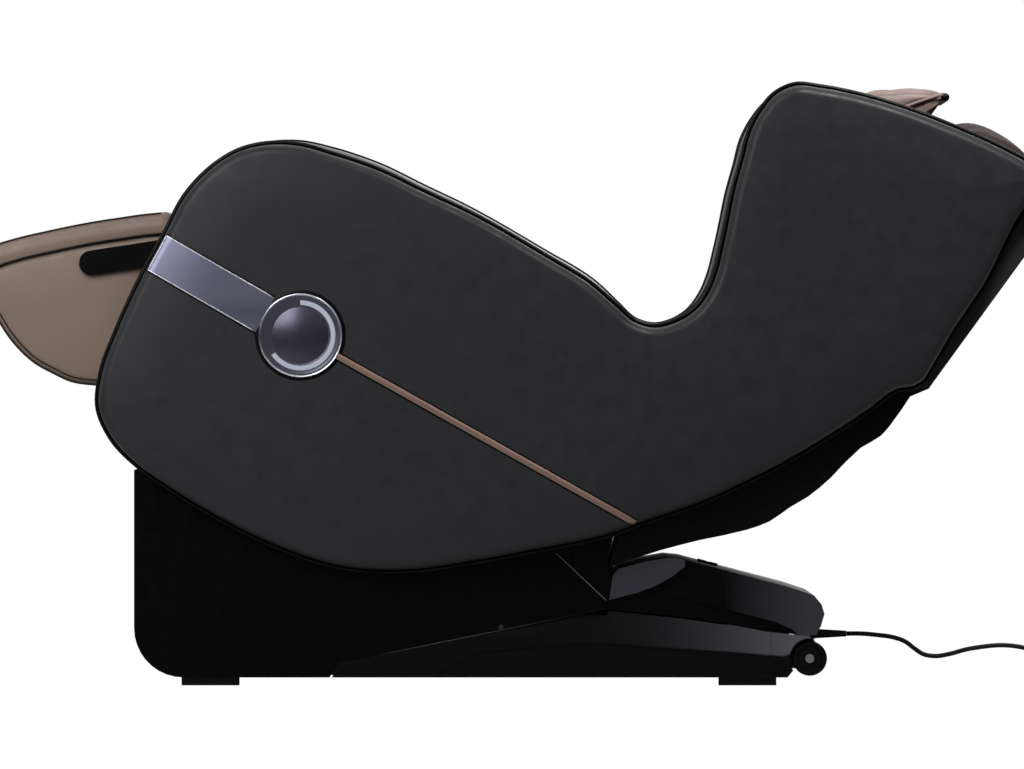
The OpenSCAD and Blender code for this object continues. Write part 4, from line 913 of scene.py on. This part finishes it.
def pillow_back():
    """The pillow's darker rear half: an outline across the chair with round side edges, a light welt where
    it meets the front half, and a rolled tip."""
    loop = evenly(np.vstack([smooth_loop(mm(PILLOW_BACK), 8), mm(PILLOW_BACK[:1])]), 201)[:-1]
    normal = loop_normals(loop)
    centre = loop.mean(0)
    share = np.sin(np.linspace(0, math.pi / 2, 24))[:, None, None]
    a = np.linspace(0.12, math.pi / 2, 8)[:, None, None]
    face = at_y(centre + share * (loop - PILLOW_EDGE * normal - centre),
                -(PILLOW_HALF_W - 0.004 * share[..., 0] ** 3))
    edge = at_y(loop - PILLOW_EDGE * (1 - np.sin(a)) * normal,
                -(PILLOW_HALF_W - 0.004 - PILLOW_EDGE * (1 - np.cos(a[..., 0]))))
    pad("pillow_back", both_halves(np.concatenate([face, edge])), LEATHER_DARK, "seat_body", ())
    for side in (0, 1):
        welt = at_y(smooth_path(mm(PILLOW_WELT), 10), -(PILLOW_HALF_W - 0.0005))
        tube(f"pillow_welt_{'lr'[side]}", mirrored(welt, side), 0.0024, 8, LEATHER_PILLOW, "seat_body")
    roll = at_y(np.tile(PILLOW_TIP, (40, 1)), np.linspace(-0.147, 0.147, 40))
    swell = np.interp(np.linspace(0, 1, 40), [0, 0.03, 0.97, 1], [0.0045, 0.0060, 0.0060, 0.0045])
    tube("pillow_roll", roll, swell, 20, PIPING, "seat_body", up=(0, 0, 1))


def cushions():
    """Seat, back, pillow and calf pad, each bent along its own line."""
    seat = pad_points(SEAT_LINE, CUSHION_HALF_W, 0.054, 0.014, 0.014, 0.02,
                      sewn_channels((0.17, 0.33, 0.49), 0.008, 0.012), 0.0)
    pad("seat_pad", seat, LEATHER_BEIGE, "seat_body", ("seat_cushion",))
    back = pad_points(BACK_LINE, CUSHION_HALF_W, 0.038, 0.014, 0.012, 0.02,
                      sewn_channels((0.17, 0.33, 0.50), 0.008, 0.012), 0.0)
    back = pad("back_pad", back, LEATHER_BEIGE, "seat_body", ("back_cushion",))
    # its head end gets painted shade: a darker copy of its leather, also rougher and less shiny
    back.data.materials.append(LEATHER_HEAD_END_PAINTED_SHADE)
    centre = np.empty(3 * len(back.data.polygons))
    back.data.polygons.foreach_get("center", centre)
    back.data.polygons.foreach_set("material_index", (centre[::3] > PAINTED_SHADE_FROM_X).astype(np.int32))
    pillow = pad_points(PILLOW_LINE, PILLOW_HALF_W, 0.088, 0.002, 0.008, 0.03, None, 0.015, around=360)
    pad("pillow", pillow, LEATHER_PILLOW, "seat_body", ("head_pillow",))
    pillow_back()
    leg = pad_points(LEG_LINE, LEG_HALF_W, LEG_PAD_T, 0.003, 0.010, 0.016, calf_channels, 0.008)
    pad("calf_pad", leg, LEATHER_BEIGE, "leg_rest", ("legrest_pad",))


cushions()

# ---------------------------------------------------------------- leg rest's shell
LEG_BELLY = [(-738, 556), (-735, 532), (-718, 496), (-692, 459), (-668, 437), (-643, 423), (-619, 412),
             (-585, 407), (-553, 407), (-530, 420), (-514, 455), (-505, 520), (-500, 596)]
SHELL_EDGE = 0.010


def under_line(line, thick, gap):
    """The side-plane line that lies a pad's thickness and a gap below its top."""
    path = smooth_path(np.array(line) * [MM, MM, 1], 6)
    normal = left_of(unit(np.gradient(path[:, :2], axis=0)))
    return path[:, :2] - normal * (thick * path[:, 2:] + gap)


def trimmed(path, start, end):
    """The path without the given lengths at its two ends."""
    return along(path, np.linspace(start, arc_length(path)[-1] - end, 60))


def leg_shell():
    """Side faces spread from the middle of the outline, padded towards their edges, and the belly between."""
    belly = smooth_path(mm(LEG_BELLY), 12)
    top = under_line(LEG_LINE, LEG_PAD_T, 0.0003)[::-1]
    loop = evenly(np.vstack([belly, top, belly[:1]]), 401)[:-1]
    centre = loop.mean(0)
    normal = loop_normals(loop)
    if np.sum(normal * (loop - centre)) < 0:
        normal = -normal
    inner = loop - 0.0004 * normal
    share = np.sin(np.linspace(0, math.pi / 2, 64))[:, None, None]
    face = centre + share * (inner - centre)
    depth = padded_depth(face.reshape(-1, 2), inner, SHELL_EDGE, 0.004, 0.07).reshape(face.shape[:-1])
    near = at_y(face, depth - LEG_HALF_W)
    side_wall = at_y(loop, -(LEG_HALF_W - SHELL_EDGE - 0.006))[None]
    pad("leg_shell", both_halves(np.concatenate([near, side_wall])), LEATHER_BEIGE, "leg_rest",
        ("legrest_shell",))
    for side in (0, 1):
        n = "lr"[side]
        seam = at_y(trimmed(under_line(LEG_LINE, LEG_PAD_T, -0.0010), 0.010, 0.004), -(LEG_HALF_W - 0.0035))
        tube(f"leg_seam_{n}", mirrored(seam, side), 0.0026, 8, SEAM_DARK, "leg_rest")
        rim = at_y(trimmed(under_line(LEG_LINE, 0.0, 0.0012), 0.016, 0.016), -(LEG_HALF_W - 0.0022))
        tube(f"pad_rim_{n}", mirrored(rim, side), 0.0011, 8, SEAM_DARK, "leg_rest")
        for name, drawn, from_edge, radius in (("belly_seam", 0.0004, 0.0080, 0.0013),
                                               ("belly_welt", 0.0068, 0.0014, 0.0010)):
            line = evenly(belly, 200)
            inward = left_of(unit(np.gradient(line, axis=0)))
            path = at_y(line + drawn * inward, -(LEG_HALF_W - from_edge))
            tube(f"{name}_{n}", mirrored(path, side), radius, 8, SEAM_DARK, "leg_rest")


leg_shell()


# ---------------------------------------------------------------- seals and painted edge highlights
SEAL_CHEEK = [(22, 150), (22, 184), (44, 190), (60, 194), (66, 194), (66, 150)]
SEAL_BACK = [(541.6, 412), (547.0, 402.3), (522.6, 392.1), (507.7, 388.7), (507.7, 410.4)]
SEAL_LIP = [(106.5, 166), (110.2, 166.6), (114, 162), (119, 161), (119, 153), (110, 153)]
CHEEK_Y = (0.2745, 0.2772)
LIP_HALF_W = 0.270
COVER_EDGES = [[(40, 180.6), (109.6, 115.2)], [(109, 104.2), (60, 94.4), (-70, 67.7), (-246, 31.6)]]
PAINTED_EDGE_HIGHLIGHT_R = (0.0007, 0.0004)
PAINTED_EDGE_HIGHLIGHT_Y = 0.2951


def seal(name, outline, near, far, body):
    """A flat rubber plate between two places across the chair."""
    points = np.stack([at_y(mm(outline), y) for y in (near, far)])
    faces, ends = rings(points, caps=True)
    piece(name, points, faces, RUBBER, body, sharp=30, caps=ends)


def side_seals(n, sign):
    """Plates that close the base beside the hood, and the gap between the back shell and the under cover."""
    shell_side = np.abs(np.array(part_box("back_shell"))[:, 1]).min()
    seal(f"seal_cheek_{n}", SEAL_CHEEK, sign * CHEEK_Y[0], sign * CHEEK_Y[1], "base")
    seal(f"seal_back_{n}", SEAL_BACK, sign * (shell_side - 0.006), sign * (shell_side - 0.002), "seat_body")


def painted_edge_highlights(n, sign):
    """Fine beads of lighter grey along a side cover's free edges: a painted highlight where the edges would catch
    the light.
    """
    for index, (line, radius) in enumerate(zip(COVER_EDGES, PAINTED_EDGE_HIGHLIGHT_R)):
        path = at_y(evenly(mm(line), 40), sign * PAINTED_EDGE_HIGHLIGHT_Y)
        tube(f"cover_bead_{n}_{index}", path, radius, 6, PAINTED_EDGE_HIGHLIGHT, "base")


seal("seal_lip", SEAL_LIP, -LIP_HALF_W, LIP_HALF_W, "base")
for n, sign in (("l", -1), ("r", 1)):
    side_seals(n, sign)
    painted_edge_highlights(n, sign)


# ---------------------------------------------------------------- studio
SKY_LIGHT = 0.07
SKY_TINT = (0.95, 0.97, 1)
SKY_MIRRORED = (0.8, 0.8, 0.8)
FLOOR_GREY = 0.86
FLOOR_GLOW = 1.11
FLOOR_GLOW_SHARE = 0.9
FLOOR_HALF_W = 9
FLOOR_Z = -0.0005


def blend(tree, share, first, second):
    """Two shaders mixed by a share: all the first at 0, all the second at 1."""
    node = tree.nodes.new("ShaderNodeMixShader")
    for value, socket in zip((share, first, second), node.inputs):
        tree.links.new(value, socket)
    return node.outputs[0]


def glow(tree, kind, strength, colour=(1, 1, 1)):
    """A background or an emission, whose strength is a number or a socket."""
    node = tree.nodes.new(kind)
    node.inputs["Color"].default_value = (*colour, 1)
    if isinstance(strength, float):
        node.inputs["Strength"].default_value = strength
    else:
        tree.links.new(strength, node.inputs["Strength"])
    return node.outputs[0]


def sky():
    """A world that is white to the camera, dim as a light, and in reflections bright overhead and on the
    backdrop's side and dim at the horizon behind the camera."""
    world = bpy.data.worlds.new("studio")
    bpy.context.scene.world = world
    world.use_nodes = True
    tree = world.node_tree
    tree.nodes.clear()
    rays = tree.nodes.new("ShaderNodeLightPath").outputs
    towards = axes(tree, tree.nodes.new("ShaderNodeTexCoord").outputs["Generated"])
    up = spread(tree, towards["Z"], 0.05, 0.6, 0.03, 0.6)
    back = spread(tree, towards["Y"], 0.1, 0.9, 0.0, 0.45)
    strength = calc(tree, "MINIMUM", calc(tree, "ADD", up, back), 1.0)
    unseen = blend(tree, rays["Is Glossy Ray"], glow(tree, "ShaderNodeBackground", SKY_LIGHT, SKY_TINT),
                   glow(tree, "ShaderNodeBackground", strength, SKY_MIRRORED))
    seen = calc(tree, "MAXIMUM", rays["Is Camera Ray"], rays["Is Transmission Ray"])
    shown = blend(tree, seen, unseen, glow(tree, "ShaderNodeBackground", 1.0))
    tree.links.new(shown, tree.nodes.new("ShaderNodeOutputWorld").inputs["Surface"])


def floor():
    """A pale floor, all but white to the camera, that keeps a faint shadow."""
    material, tree, principled = plain_material("floor_white")
    principled.inputs["Base Color"].default_value = (FLOOR_GREY, FLOOR_GREY, FLOOR_GREY, 1)
    principled.inputs["Roughness"].default_value = 0.7
    principled.inputs["Specular IOR Level"].default_value = 0.2
    seen = tree.nodes.new("ShaderNodeLightPath").outputs["Is Camera Ray"]
    shown = blend(tree, calc(tree, "MULTIPLY", seen, FLOOR_GLOW_SHARE), principled.outputs[0],
                  glow(tree, "ShaderNodeEmission", FLOOR_GLOW))
    tree.links.new(shown, tree.nodes["Material Output"].inputs["Surface"])
    mesh = bpy.data.meshes.new("floor")
    mesh.from_pydata([(x * FLOOR_HALF_W, y * FLOOR_HALF_W, 0) for x, y in ((-1, -1), (1, -1), (1, 1), (-1, 1))],
                     [], [(0, 1, 2, 3)])
    mesh.materials.append(material)
    obj = bpy.data.objects.new("floor", mesh)
    obj.location = (0, 0, FLOOR_Z)
    bpy.context.scene.collection.objects.link(obj)


def area_light(name, place, target, size, watts, colour=(1, 1, 1), cone=180):
    """A square lamp that looks at a point, with its light kept in a cone of so many degrees."""
    data = bpy.data.lights.new(name, "AREA")
    data.size = size
    data.energy = watts
    data.color = colour
    data.spread = math.radians(cone)
    lamp = bpy.data.objects.new(name, data)
    lamp.location = place
    x, y, z = np.array(target) - np.array(place)
    lamp.rotation_euler = (math.pi / 2 + math.atan2(z, math.hypot(x, y)), 0, math.atan2(y, x) - math.pi / 2)
    bpy.context.scene.collection.objects.link(lamp)


def lamps():
    """The key lamp over the foot end, soft ones round the chair, and a small one at the head."""
    middle = (0, 0, 0.4)
    area_light("key", (-1.15, -1.75, 1.45), (-0.85, 0, 0.5), 1.3, 14.5, (0.98, 0.985, 1), 130)
    area_light("top", (0.2, 0.5, 3.2), middle, 2.4, 16)
    area_light("left", (-3.4, 0.3, 1.2), middle, 1.4, 6)
    area_light("back", (1.2, 3.4, 2.2), middle, 2.0, 16)
    area_light("head", (0.9, -1.6, 2.6), (0.64, 0, 0.9), 0.5, 4.5, cone=50)


sky()
floor()
lamps()
bpy.context.scene.view_settings.view_transform = "Standard"
